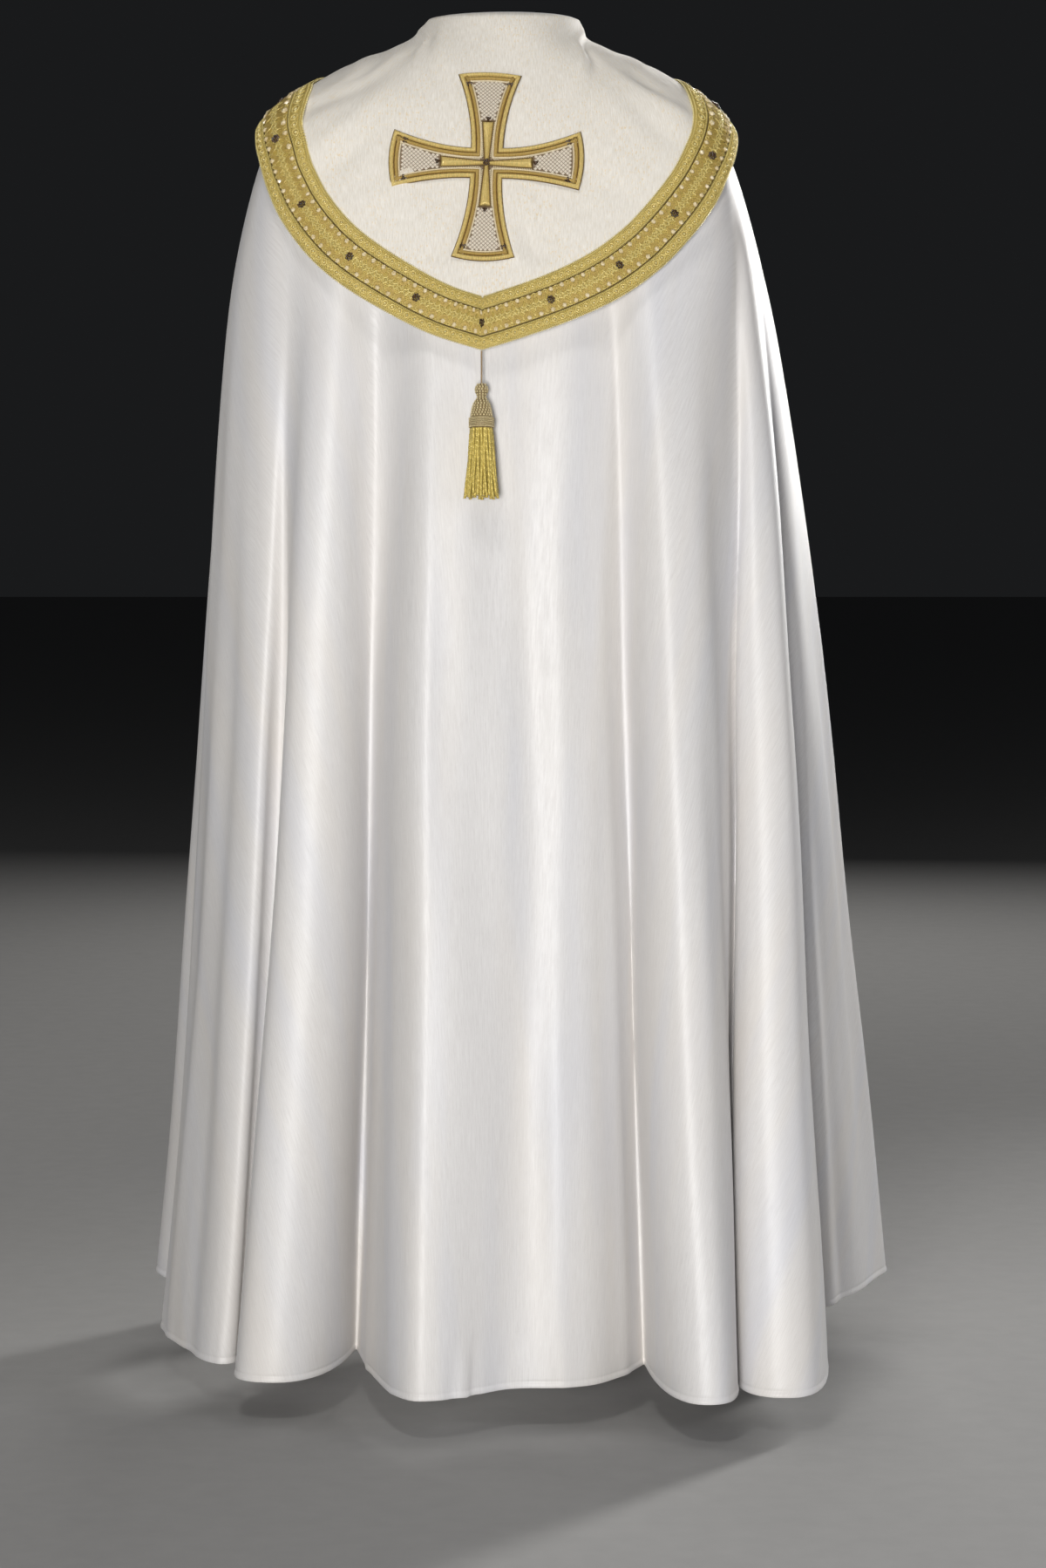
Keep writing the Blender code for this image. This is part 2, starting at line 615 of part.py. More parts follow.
def make_tab(finish):
    """The plain tab that holds the front edges together: it lies on both and runs straight across between."""
    out = HOOD_LIFT + TAB_CLOTH
    rows = []
    shares = (0.0, 0.33, 0.67, 1.0)
    for row_share in shares:
        down = TAB_TOP + TAB_HEIGHT * row_share
        right = [smooth_point(1.0 - TAB_LAP_TURN * (1 - share), down, out) for share in shares]
        left = [smooth_point(TAB_LAP_TURN * share - 1.0, down, out) for share in shares]
        rows.append(right + [right[-1].lerp(left[0], share) for share in shares[1:-1]] + left)
    cloth_panel("clasp_tab", [rows], TAB_CLOTH, finish)


def main():
    for old in list(bpy.data.objects):
        bpy.data.objects.remove(old)
    satin = material("ivory satin", (0.86, 0.83, 0.80), 0.45)
    crepe = material("cream crepe", (0.84, 0.78, 0.66), 0.60)
    ground = material("cross ground", (0.80, 0.74, 0.60), 0.60)
    gold = material("gold braid", (0.62, 0.45, 0.12), 0.40, 0.6)
    pale_gold = material("pale gold chain", (0.66, 0.55, 0.25), 0.40, 0.6)
    bullion = material("gold bullion", (0.60, 0.38, 0.08), 0.35, 0.8)
    make_cope(satin)
    make_hood(crepe)
    make_braid(gold, pale_gold)
    make_cross_ground(ground)
    make_cross_frame(bullion)
    make_inner_cross(bullion)
    make_tassel_cord(pale_gold)
    make_tassel(bullion)
    make_tab(crepe)


main()
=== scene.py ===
# The looks of a cope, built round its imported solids. Metres, +Z up; the wearer faces +Y, so the back is -Y.
# A place on the cloth is "turn", from 0 at the middle of the back to 1 at the right front edge and -1 at the
# left one, and "down", the metres of cloth from the neck. Trimmings are made flat, with x along the work, y
# across it and z out of it, and are then laid on the cloth.

import math

import bmesh
import bpy
import numpy as np
from mathutils import Matrix, Vector


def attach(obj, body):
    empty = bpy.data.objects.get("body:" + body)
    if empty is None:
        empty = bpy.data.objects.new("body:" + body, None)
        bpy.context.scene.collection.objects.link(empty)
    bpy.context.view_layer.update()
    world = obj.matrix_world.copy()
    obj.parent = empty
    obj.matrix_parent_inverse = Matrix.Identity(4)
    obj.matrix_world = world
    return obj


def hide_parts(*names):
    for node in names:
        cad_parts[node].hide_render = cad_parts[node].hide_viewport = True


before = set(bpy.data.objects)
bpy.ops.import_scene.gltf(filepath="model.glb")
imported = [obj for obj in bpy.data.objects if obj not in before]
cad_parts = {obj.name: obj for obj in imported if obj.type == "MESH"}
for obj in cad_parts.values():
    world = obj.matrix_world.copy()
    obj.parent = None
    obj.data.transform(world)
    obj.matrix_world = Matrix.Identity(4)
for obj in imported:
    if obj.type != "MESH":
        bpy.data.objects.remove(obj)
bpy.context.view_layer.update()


# Tables and curves

def table(names, *rows):
    return dict(zip(names.split(), np.array(rows, float).T))


# a smooth curve through one column of a table, which never overshoots a row
def column(rows, key, value, at):
    keys, values = rows[key], rows[value]
    at = np.clip(at, keys[0], keys[-1])
    slopes = np.diff(values) / np.diff(keys)
    before, after = slopes[:-1], slopes[1:]
    sameWay = before * after > 0
    inner = np.where(sameWay, 2 * before * after / np.where(sameWay, before + after, 1.0), 0.0)
    tangents = np.concatenate((slopes[:1], inner, slopes[-1:]))
    i = np.clip(np.searchsorted(keys, at, side="right") - 1, 0, len(keys) - 2)
    span = keys[i + 1] - keys[i]
    q = (at - keys[i]) / span
    return (
        (1 + 2 * q) * (1 - q) ** 2 * values[i]
        + q * (1 - q) ** 2 * span * tangents[i]
        + q * q * (3 - 2 * q) * values[i + 1]
        - q * q * (1 - q) * span * tangents[i + 1]
    )


def mix(a, b, share):
    return a + (b - a) * share


def smoothStep(x):
    x = np.clip(x, 0.0, 1.0)
    return x * x * (3 - 2 * x)


def unit(vectors):
    return vectors / np.maximum(np.linalg.norm(vectors, axis=-1, keepdims=True), 1e-12)


def sameShape(*values):
    return np.broadcast_arrays(*(np.asarray(value, float) for value in values))


# one soft rise or dip, or with a higher power a square one
def swell(x, height, centre, width, power=2):
    return height * np.exp(-(((x - centre) / width) ** power))


# waves that cross each other: how high, how fast they change with a and with b, and where they start
def crossingWaves(rows, a, b):
    return sum(height * np.sin(byA * a + byB * b + start) for height, byA, byB, start in rows)


def runLength(points, axis):
    steps = np.linalg.norm(np.diff(points, axis=axis), axis=-1)
    start = np.zeros_like(np.take(steps, [0], axis=axis))
    return np.concatenate((start, np.cumsum(steps, axis=axis)), axis=axis)


# a short step of turn or of cloth, for finding which way the cloth runs
reach = 0.002


# The cape's form, as its solid has it

cape = {
    "length": 1.512,  # neck edge to hem, down the middle of the back
    "cloth": 0.0013,
    "foldsStart": 0.25,
    "foldTurnRate": 2.5,
    "columnsPerFold": 20,
    "crowding": 0.65,  # how close the columns stand at each bend
    "rowHeight": 0.0195,
    # rows of points above the hem, closer than the rest
    "hemRows": (0.01, 0.0082, 0.0072, 0.0064, 0.0052, 0.0036, 0.0022, 0.0012, 0.0004, 0.0),
    "hemRoll": (0.0007, 0.0022, 0.0022),  # height, how far above the hem, how wide
    "hemSeam": (-0.0005, 0.0068, 0.0012),
    "puckerReach": 0.045,
    "neckRadius": 0.1,  # of the flat cut
    "waver": 0.001,
    "waverWaves": ((1.0, 7.3, 41.0, 0.8), (0.7, 13.1, -67.0, 2.1), (0.5, 4.1, 113.0, 4.4)),
    "cut": (3.1, 1.55),  # the half circle it is cut from
}

# smooth cross-sections, from the neck down: a power of 2 is an oval, and a higher one is squarer
rings = table(
    "down left right middle back front backZ sideZ frontZ gap backPower frontPower",
    (0.000, 0.084, 0.072, 0.000, 0.070, 0.078, 0.010, 0.010, -0.034, 0.050, 2.00, 2.00),
    (0.033, 0.106, 0.084, 0.000, 0.086, 0.094, -0.016, -0.015, -0.050, 0.054, 2.00, 2.00),
    (0.100, 0.177, 0.152, 0.000, 0.114, 0.125, -0.070, -0.049, -0.088, 0.058, 2.70, 2.25),
    (0.175, 0.252, 0.222, 0.002, 0.142, 0.152, -0.136, -0.108, -0.142, 0.062, 5.00, 2.60),
    (0.245, 0.277, 0.249, 0.006, 0.164, 0.178, -0.202, -0.166, -0.202, 0.066, 4.20, 2.55),
    (0.400, 0.316, 0.296, 0.015, 0.203, 0.225, -0.350, -0.340, -0.349, 0.072, 2.70, 2.50),
    (0.800, 0.353, 0.358, 0.052, 0.270, 0.262, -0.745, -0.741, -0.744, 0.082, 2.40, 2.40),
    (1.160, 0.383, 0.402, 0.088, 0.336, 0.282, -1.103, -1.100, -1.102, 0.090, 2.40, 2.40),
    (1.512, 0.418, 0.446, 0.120, 0.400, 0.290, -1.454, -1.454, -1.454, 0.095, 2.50, 2.50),
)

# crowns and valleys: the turn each starts from, its place on the hem and which way the cloth runs there
folds = table(
    "turn x y facing round lift",
    (-1.000, -0.100, 0.402, -170, 0.030, 0.000),
    (-0.915, -0.178, 0.352, -165, 0.030, 0.000),
    (-0.820, -0.292, 0.402, -150, 0.050, 0.010),
    (-0.725, -0.322, 0.285, -120, 0.032, 0.018),
    (-0.630, -0.420, 0.250, -106, 0.050, 0.028),
    (-0.520, -0.352, 0.150, -92, 0.030, 0.018),
    (-0.420, -0.395, 0.050, -70, 0.050, 0.000),
    (-0.306, -0.328, -0.112, -38, 0.036, 0.000),
    (-0.262, -0.288, -0.100, -5, 0.016, 0.000),
    (-0.208, -0.260, -0.204, -8, 0.074, 0.000),
    (-0.158, -0.171, -0.050, 72, 0.012, 0.000),
    (-0.085, -0.091, -0.284, 8, 0.052, 0.000),
    (0.010, 0.004, -0.230, 20, 0.030, 0.000),
    (0.078, 0.080, -0.218, 22, 0.034, 0.000),
    (0.122, 0.146, -0.122, 66, 0.010, 0.000),
    (0.183, 0.2065, -0.300, 0, 0.056, 0.000),
    (0.322, 0.243, -0.150, 60, 0.012, 0.000),
    (0.368, 0.300, -0.253, 8, 0.080, -0.004),
    (0.412, 0.352, 0.010, 20, 0.034, 0.034),
    (0.520, 0.436, 0.182, 65, 0.072, 0.036),
    (0.640, 0.366, 0.262, 105, 0.032, 0.030),
    (0.735, 0.378, 0.392, 135, 0.052, 0.014),
    (0.820, 0.266, 0.338, 150, 0.034, 0.006),
    (0.915, 0.192, 0.418, 165, 0.040, 0.000),
    (1.000, 0.099, 0.392, 172, 0.030, 0.000),
)


def ringAt(down):
    return {name: column(rings, "down", name, down) for name in rings if name != "down"}


def ringPoint(ring, turn):
    halfWidth = np.where(turn < 0, ring["left"], ring["right"])
    bearing = turn * (math.pi - np.arcsin(ring["gap"] / halfWidth))
    behind = np.cos(bearing) > 0
    depth = np.where(behind, ring["back"], ring["front"])
    endZ = np.where(behind, ring["backZ"], ring["frontZ"])
    power = np.where(behind, ring["backPower"], ring["frontPower"])
    corner = (np.abs(np.sin(bearing)) ** power + np.abs(np.cos(bearing)) ** power) ** (-1 / power)
    x = halfWidth * np.sin(bearing) * corner
    y = ring["middle"] - depth * np.cos(bearing) * corner
    z = ring["sideZ"] + (endZ - ring["sideZ"]) * np.cos(bearing) ** 2
    return np.stack((x, y, z), axis=-1)


# a point of the cape before it is folded, moved straight out of the cloth
def smoothPoint(turn, down, out):
    turn, down, out = sameShape(turn, down, out)
    ring = ringAt(down)
    along = ringPoint(ring, np.minimum(turn + reach, 1.0)) - ringPoint(ring, np.maximum(turn - reach, -1.0))
    below = ringPoint(ringAt(down + reach), turn) - ringPoint(ringAt(np.maximum(down - reach, 0.0)), turn)
    return ringPoint(ring, turn) + unit(np.cross(below, along)) * out[..., None]


# where one crown or valley crosses the rows, and which way the cloth runs there
def foldBend(ring, i, growth):
    hemRing = ringAt(cape["length"])
    turn = folds["turn"][i]
    hemPlace = np.array((folds["x"][i], folds["y"][i], float(hemRing["sideZ"]) + folds["lift"][i]))
    hemMove = hemPlace - ringPoint(hemRing, turn)
    smoothWay = unit(ringPoint(ring, min(turn + reach, 1.0)) - ringPoint(ring, max(turn - reach, -1.0)))
    facing = math.radians(folds["facing"][i])
    hemWay = np.array((math.cos(facing), math.sin(facing), 0.0))
    share = np.minimum(1.0, cape["foldTurnRate"] * growth)[:, None]
    return ringPoint(ring, turn) + hemMove * growth[:, None], unit(mix(smoothWay, hemWay, share))


# the folded cape as rows of points, with the turn of each column
def capeRows(downs):
    ring = ringAt(downs)
    growth = np.maximum(0.0, (downs - cape["foldsStart"]) / (cape["length"] - cape["foldsStart"]))
    bends = [foldBend(ring, i, growth) for i in range(len(folds["turn"]))]
    columns, turns = [], []
    for i, ((start, startWay), (end, endWay)) in enumerate(zip(bends, bends[1:])):
        third = np.linalg.norm(end - start, axis=-1) / 3
        startReach = (third + (folds["round"][i] - third) * growth)[:, None]
        endReach = (third + (folds["round"][i + 1] - third) * growth)[:, None]
        last = i == len(bends) - 2
        for step in range(cape["columnsPerFold"] + last):
            q = step / cape["columnsPerFold"]
            q = mix(q, q * q * (3 - 2 * q), cape["crowding"])
            columns.append(
                start * (1 - q) ** 3
                + (start + startWay * startReach) * 3 * q * (1 - q) ** 2
                + (end - endWay * endReach) * 3 * q * q * (1 - q)
                + end * q**3
            )
            turns.append(mix(folds["turn"][i], folds["turn"][i + 1], q))
    return np.stack(columns, axis=1), np.array(turns)


# outward directions of a grid of points whose rows go down and whose columns go to the right
def outwards(points):
    return unit(np.cross(np.gradient(points, axis=0), np.gradient(points, axis=1)))


# soft creases and ridges between the folds: the turn where each starts and ends, from how far down to how
# far, how wide it is, and how high or deep
creases = table(
    "topTurn footTurn start end width height",
    (-0.128, -0.126, 0.60, 1.55, 0.012, 0.0025),
    (-0.107, -0.104, 0.70, 1.55, 0.010, 0.0020),
    (-0.262, -0.262, 0.30, 1.55, 0.0075, -0.0170),
    (-0.340, -0.352, 0.38, 1.55, 0.020, -0.0060),
    (-0.375, -0.395, 0.60, 1.55, 0.016, 0.0045),
    (-0.450, -0.470, 0.45, 1.50, 0.018, -0.0060),
    (-0.575, -0.560, 0.50, 1.55, 0.016, 0.0055),
    (-0.680, -0.690, 0.42, 1.50, 0.016, -0.0050),
    (-0.770, -0.760, 0.48, 1.55, 0.014, 0.0050),
    (-0.865, -0.870, 0.52, 1.55, 0.013, -0.0045),
    (-0.955, -0.960, 0.60, 1.45, 0.014, 0.0040),
    (0.045, 0.036, 0.60, 1.20, 0.024, -0.0020),
    (0.060, 0.055, 0.85, 1.55, 0.014, 0.0035),
    (0.098, 0.101, 0.40, 1.55, 0.010, 0.0025),
    (0.244, 0.240, 0.40, 1.30, 0.010, 0.0030),
    (0.345, 0.342, 0.34, 1.55, 0.012, 0.0025),
    (0.440, 0.452, 0.42, 1.55, 0.020, -0.0060),
    (0.485, 0.492, 0.60, 1.40, 0.016, 0.0040),
    (0.575, 0.585, 0.44, 1.55, 0.018, 0.0055),
    (0.690, 0.700, 0.46, 1.55, 0.015, -0.0050),
    (0.775, 0.782, 0.50, 1.50, 0.014, 0.0050),
    (0.868, 0.862, 0.44, 1.55, 0.014, -0.0045),
    (0.955, 0.958, 0.58, 1.55, 0.013, 0.0040),
)

# short puckers where the stitching of the hem draws the cloth up
hemPuckers = table(
    "turn width height",
    (-0.062, 0.007, -0.0030), (-0.050, 0.006, 0.0034), (-0.040, 0.006, -0.0030), (-0.470, 0.007, 0.0018),
    (0.052, 0.006, -0.0016), (0.300, 0.007, 0.0018), (0.330, 0.006, -0.0016), (0.560, 0.007, 0.0020),
    (-0.700, 0.006, 0.0018), (0.860, 0.006, -0.0018), (-0.900, 0.006, -0.0016), (-0.300, 0.005, 0.0014),
)


# the height of every crease and pucker over the grid of the cape
def creaseHeights(downs, turns, along):
    heights = np.zeros(along.shape)

    def addBump(row, turn, width, height):
        heights[row] += swell(along[row], height, np.interp(turn, turns, along[row]), width)

    for turn, footTurn, start, end, width, height in zip(*creases.values()):
        share = np.clip((downs - start) / (end - start), 0, 1)
        fade = np.sin(np.pi * np.minimum(share * 1.6, 1.0) / 2) ** 2
        if end <= cape["length"]:
            fade *= smoothStep((1.0 - share) * 5 + 0.001)
        for row in np.nonzero(fade)[0]:
            centreTurn = mix(turn, footTurn, share[row])
            addBump(row, centreTurn, width * (0.75 + 0.5 * share[row]), height * fade[row])
    fade = swell(downs, 1.0, cape["length"], cape["puckerReach"])
    for turn, width, height in zip(*hemPuckers.values()):
        for row in np.nonzero(fade > 0.01)[0]:
            addBump(row, turn, width, height * fade[row])
    return heights


# slow unevenness, so that no fold runs quite true
def waverHeights(downs, turns):
    down, turn = np.meshgrid(downs, turns, indexing="ij")
    fade = smoothStep((down - cape["foldsStart"]) / 0.5)
    return cape["waver"] * crossingWaves(cape["waverWaves"], down, turn) * fade


# Making pieces

def newObject(name, data):
    made = bpy.data.objects.new(name, data)
    bpy.context.scene.collection.objects.link(made)
    return made


def newPiece(name, mesh, finish, sharpAngle=40):
    piece = newObject(name, mesh)
    mesh.materials.append(finish)
    mesh.shade_smooth()
    mesh.set_sharp_from_angle(angle=math.radians(sharpAngle))
    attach(piece, "root")
    return piece


def meshFrom(bm, name):
    mesh = bpy.data.meshes.new(name)
    bm.to_mesh(mesh)
    bm.free()
    return mesh


def readPoints(mesh):
    points = np.zeros(len(mesh.vertices) * 3)
    mesh.vertices.foreach_get("co", points)
    return points.reshape(-1, 3)


def writePoints(mesh, points):
    mesh.vertices.foreach_set("co", np.ascontiguousarray(points, dtype=np.float32).ravel())
    mesh.update()


def writeUv(mesh, uv, name="cut"):
    layer = mesh.uv_layers.new(name=name)
    corners = np.zeros(len(mesh.loops), dtype=np.int32)
    mesh.loops.foreach_get("vertex_index", corners)
    layer.data.foreach_set("uv", np.ascontiguousarray(uv[corners], dtype=np.float32).ravel())


# a grid shaped to rows of points, with the cut's own coordinates as its UV map
def gridMesh(name, points, uv, fall=None):
    rowCount, columnCount = points.shape[:2]
    bm = bmesh.new()
    bmesh.ops.create_grid(bm, x_segments=columnCount - 1, y_segments=rowCount - 1, size=1.0)
    mesh = meshFrom(bm, name)
    flat = readPoints(mesh)
    across = np.rint((flat[:, 0] + 1) / 2 * (columnCount - 1)).astype(int)
    down = np.rint((1 - flat[:, 1]) / 2 * (rowCount - 1)).astype(int)
    writePoints(mesh, points[down, across])
    writeUv(mesh, uv[down, across])
    if fall is not None:
        writeUv(mesh, fall[down, across], "fall")
    return mesh


# faces the same way out, and up where the shape is open
def faceUp(bm):
    bmesh.ops.recalc_face_normals(bm, faces=bm.faces)
    if sum(face.normal.z for face in bm.faces) < 0:
        bmesh.ops.reverse_faces(bm, faces=bm.faces)


# what an extrusion has drawn out, of one kind
def drawnOut(made, kind):
    return [item for item in made["geom"] if isinstance(item, kind)]


def thicken(piece, thickness):
    wall = piece.modifiers.new("wall", "SOLIDIFY")
    wall.thickness = thickness
    wall.offset = -1.0


# copies of small meshes at their places, joined
def stamped(stamps):
    bm = bmesh.new()
    for template, spots in stamps:
        for spot in spots:
            copy = template.copy()
            copy.transform(spot)
            bm.from_mesh(copy)
            bpy.data.meshes.remove(copy)
    return bm


def place(x, y, z=0.0, turned=0.0, stretch=(1.0, 1.0, 1.0)):
    return Matrix.LocRotScale((x, y, z), Matrix.Rotation(turned, 3, "Z"), stretch)


# Laying flat work on a curved ground

# the surface is a grid of points with the flat x of its columns and the flat y of its rows
def laidOn(surface, flat):
    xs, ys = surface["xs"], surface["ys"]
    i = np.clip(np.searchsorted(ys, flat[:, 1], side="right") - 1, 0, len(ys) - 2)
    k = np.clip(np.searchsorted(xs, flat[:, 0], side="right") - 1, 0, len(xs) - 2)
    v = ((flat[:, 1] - ys[i]) / (ys[i + 1] - ys[i]))[:, None]
    u = ((flat[:, 0] - xs[k]) / (xs[k + 1] - xs[k]))[:, None]

    def blend(grid):
        return mix(mix(grid[i, k], grid[i, k + 1], u), mix(grid[i + 1, k], grid[i + 1, k + 1], u), v)

    return blend(surface["points"]) + unit(blend(surface["normals"])) * flat[:, 2:3]


# flat mesh to laid mesh; its flat coordinates stay as its UV map
def layMesh(mesh, surface):
    flat = readPoints(mesh)
    if not mesh.uv_layers:
        writeUv(mesh, flat[:, :2])
    writePoints(mesh, laidOn(surface, flat))


# Small shapes that repeat

# everything drawn so far, spun once round the upright axis
def spinRound(bm, steps):
    bmesh.ops.spin(
        bm, geom=bm.verts[:] + bm.edges[:], cent=(0, 0, 0), axis=(0, 0, 1), angle=2 * math.pi, steps=steps,
        use_merge=True,
    )
    bmesh.ops.remove_doubles(bm, verts=bm.verts, dist=1e-6)


def ringShape(radius, thick, sides=6, steps=14, stretch=1.0):
    bm = bmesh.new()
    across = Matrix.Translation((radius, 0, 0)) @ Matrix.Rotation(math.pi / 2, 4, "X")
    bmesh.ops.create_circle(bm, segments=sides, radius=thick / 2, matrix=across)
    spinRound(bm, steps)
    bmesh.ops.scale(bm, vec=(1, stretch, 1), verts=bm.verts)
    bmesh.ops.recalc_face_normals(bm, faces=bm.faces)
    return meshFrom(bm, "ring shape")


# a ball drawn out to its length, width and height
def beadShape(length, width, height, fine=2):
    bm = bmesh.new()
    bmesh.ops.create_icosphere(bm, subdivisions=fine, radius=0.5)
    bmesh.ops.scale(bm, vec=(length, width, height), verts=bm.verts)
    return meshFrom(bm, "bead shape")


def stitchShape(length, thick):
    return beadShape(length, thick, thick, 1)


# a padded leaf or pillow: an oval whose top is drawn in and up, step by step
def padShape(length, width, height, segments=16, steps=3):
    bm = bmesh.new()
    bmesh.ops.create_circle(bm, cap_ends=True, segments=segments, radius=0.5)
    bmesh.ops.scale(bm, vec=(length, width, 1.0), verts=bm.verts)
    top = bm.faces[:]
    for step in range(steps):
        share = (step + 1) / steps
        bmesh.ops.inset_region(bm, faces=top, thickness=min(length, width) * 0.36 / steps)
        rise = height * (math.sin(share * math.pi / 2) - math.sin((share - 1 / steps) * math.pi / 2))
        bmesh.ops.translate(bm, vec=(0, 0, rise), verts=list({v for face in top for v in face.verts}))
    bmesh.ops.recalc_face_normals(bm, faces=bm.faces)
    return meshFrom(bm, "pad shape")


# Materials

# a few helpers round the nodes of one material
class Finish:
    def __init__(self, name, roughness, metallic=0.0, **constants):
        self.material = bpy.data.materials.new(name)
        self.material.use_nodes = True
        self.nodes = self.material.node_tree.nodes
        self.links = self.material.node_tree.links
        self.shader = self.nodes["Principled BSDF"]
        self.shader.inputs["Roughness"].default_value = roughness
        self.shader.inputs["Metallic"].default_value = metallic
        for socket, value in constants.items():
            self.shader.inputs[socket].default_value = value

    def add(self, kind, inputs=None, **settings):
        node = self.nodes.new(kind)
        for key, value in settings.items():
            setattr(node, key, value)
        for key, value in (inputs or {}).items():
            if isinstance(value, bpy.types.NodeSocket):
                self.links.new(value, node.inputs[key])
            else:
                node.inputs[key].default_value = value
        return node

    # coordinates in metres, from the piece's cut or from the object, scaled
    def cut(self, scale, turned=0.0, name="cut"):
        source = self.add("ShaderNodeUVMap", uv_map=name).outputs["UV"]
        inputs = {"Vector": source, "Scale": scale, "Rotation": (0, 0, turned)}
        return self.add("ShaderNodeMapping", inputs).outputs["Vector"]

    def space(self, scale=(1, 1, 1)):
        source = self.add("ShaderNodeTexCoord").outputs["Object"]
        return self.add("ShaderNodeMapping", {"Vector": source, "Scale": scale}).outputs["Vector"]

    def noise(self, vector, scale, detail=2.0, roughness=0.5):
        inputs = {"Vector": vector, "Scale": scale, "Detail": detail, "Roughness": roughness}
        return self.add("ShaderNodeTexNoise", inputs).outputs["Fac"]

    def stripes(self, vector, scale, distortion=0.0):
        inputs = {"Vector": vector, "Scale": scale, "Distortion": distortion}
        return self.add("ShaderNodeTexWave", inputs, bands_direction="X").outputs["Fac"]

    def spread(self, value, low, high, toLow=0.0, toHigh=1.0):
        inputs = {"Value": value, "From Min": low, "From Max": high, "To Min": toLow, "To Max": toHigh}
        return self.add("ShaderNodeMapRange", inputs).outputs["Result"]

    def maths(self, operation, a, b):
        return self.add("ShaderNodeMath", {0: a, 1: b}, operation=operation).outputs[0]

    def blend(self, share, a, b):
        node = self.add("ShaderNodeMix", data_type="RGBA")
        for socket, value in (("Factor", share), ("A", a), ("B", b)):
            wanted = "VALUE" if socket == "Factor" else "RGBA"
            found = next(s for s in node.inputs if s.name == socket and s.type == wanted)
            if isinstance(value, bpy.types.NodeSocket):
                self.links.new(value, found)
            else:
                found.default_value = value if socket == "Factor" else (*value, 1.0)
        return next(s for s in node.outputs if s.type == "RGBA")

    def colour(self, socket):
        self.links.new(socket, self.shader.inputs["Base Color"])

    def rough(self, socket):
        self.links.new(socket, self.shader.inputs["Roughness"])

    # bumps on top of those there already
    def bump(self, height, distance, strength):
        inputs = {"Height": height, "Distance": distance, "Strength": strength}
        before = self.shader.inputs["Normal"]
        if before.is_linked:
            inputs["Normal"] = before.links[0].from_socket
        self.links.new(self.add("ShaderNodeBump", inputs).outputs["Normal"], before)


# slubbed satin: long threads down the cut, close together, over a fine grain, with lilac and cream streaks
# down the folds painted as cool shade and warm bounce light
def satinFinish():
    look = Finish("slubbed ivory satin with painted shade streaks", 0.4, **{"Sheen Weight": 0.1, "Specular IOR Level": 0.55})
    slubs = look.noise(look.cut((950, 34, 1)), 1.0, 3.0, 0.6)
    threads = look.noise(look.cut((2300, 150, 1)), 1.0, 2.0, 0.5)
    # painted shade: lilac and cream streaks laid at random down the folds, for the cool shade on their flanks
    # and the warm bounce light in their valleys
    paintedCreamShade = look.noise(look.cut((11, 1.6, 1), 0.0, "fall"), 1.0, 2.0)
    paintedLilacShade = look.noise(look.cut((17, 2.2, 1), 0.05, "fall"), 1.0, 2.0)
    tone = look.blend(look.spread(slubs, 0.3, 0.7), (0.68, 0.66, 0.65), (0.785, 0.77, 0.762))
    tone = look.blend(look.spread(threads, 0.3, 0.7, 0.0, 0.35), tone, (0.86, 0.845, 0.83))
    tone = look.blend(look.spread(paintedCreamShade, 0.44, 0.7, 0.0, 0.38), tone, (0.8, 0.742, 0.67))
    tone = look.blend(look.spread(paintedLilacShade, 0.48, 0.72, 0.0, 0.36), tone, (0.65, 0.668, 0.745))
    look.colour(tone)
    look.rough(look.spread(slubs, 0.3, 0.7, 0.5, 0.4))
    look.bump(slubs, 0.0002, 0.55)
    look.bump(threads, 0.0001, 0.5)
    return look.material


# crinkled weave for the hood, with a gold fleck here and there
def crepeFinish():
    look = Finish("cream crinkled weave", 0.62, **{"Sheen Weight": 0.2, "Sheen Roughness": 0.5})
    crinkles = look.noise(look.cut((760, 85, 1)), 1.0, 4.0, 0.62)
    threads = look.noise(look.cut((1500, 240, 1)), 1.0, 2.0)
    flecks = look.noise(look.cut((520, 230, 1)), 1.0, 3.0, 0.6)
    patches = look.noise(look.cut((26, 17, 1)), 1.0, 3.0)
    tone = look.blend(look.spread(crinkles, 0.32, 0.66), (0.72, 0.668, 0.58), (0.915, 0.876, 0.808))
    tone = look.blend(look.spread(threads, 0.35, 0.7, 0.0, 0.5), tone, (0.8, 0.76, 0.69))
    strewn = look.spread(patches, 0.4, 0.62, 0.1, 0.75)
    gold = look.maths("MULTIPLY", look.spread(flecks, 0.56, 0.66), strewn)
    look.colour(look.blend(gold, tone, (0.78, 0.6, 0.3)))
    look.rough(look.spread(flecks, 0.56, 0.66, 0.62, 0.4))
    look.bump(crinkles, 0.0005, 0.55)
    look.bump(threads, 0.0002, 0.5)
    return look.material


# woven or plaited gold thread: two slanting sets of threads over each other
def goldBraidFinish(name, dark, light, roughness, metallic, pitch):
    look = Finish(name, roughness, metallic)
    lean = math.radians(38)
    one = look.stripes(look.cut((1 / pitch, 1 / pitch, 1), lean), 0.32)
    two = look.stripes(look.cut((1 / pitch, 1 / pitch, 1), -lean), 0.32)
    plait = look.maths("MAXIMUM", one, two)
    glints = look.noise(look.space(), 900.0, 2.0)
    tone = look.blend(look.spread(plait, 0.35, 0.95), dark, light)
    look.colour(look.blend(look.spread(glints, 0.35, 0.7, 0.0, 0.45), tone, tuple(c * 0.62 for c in light)))
    look.rough(look.spread(glints, 0.3, 0.7, roughness - 0.08, roughness + 0.1))
    look.bump(plait, 0.0004, 0.8)
    return look.material


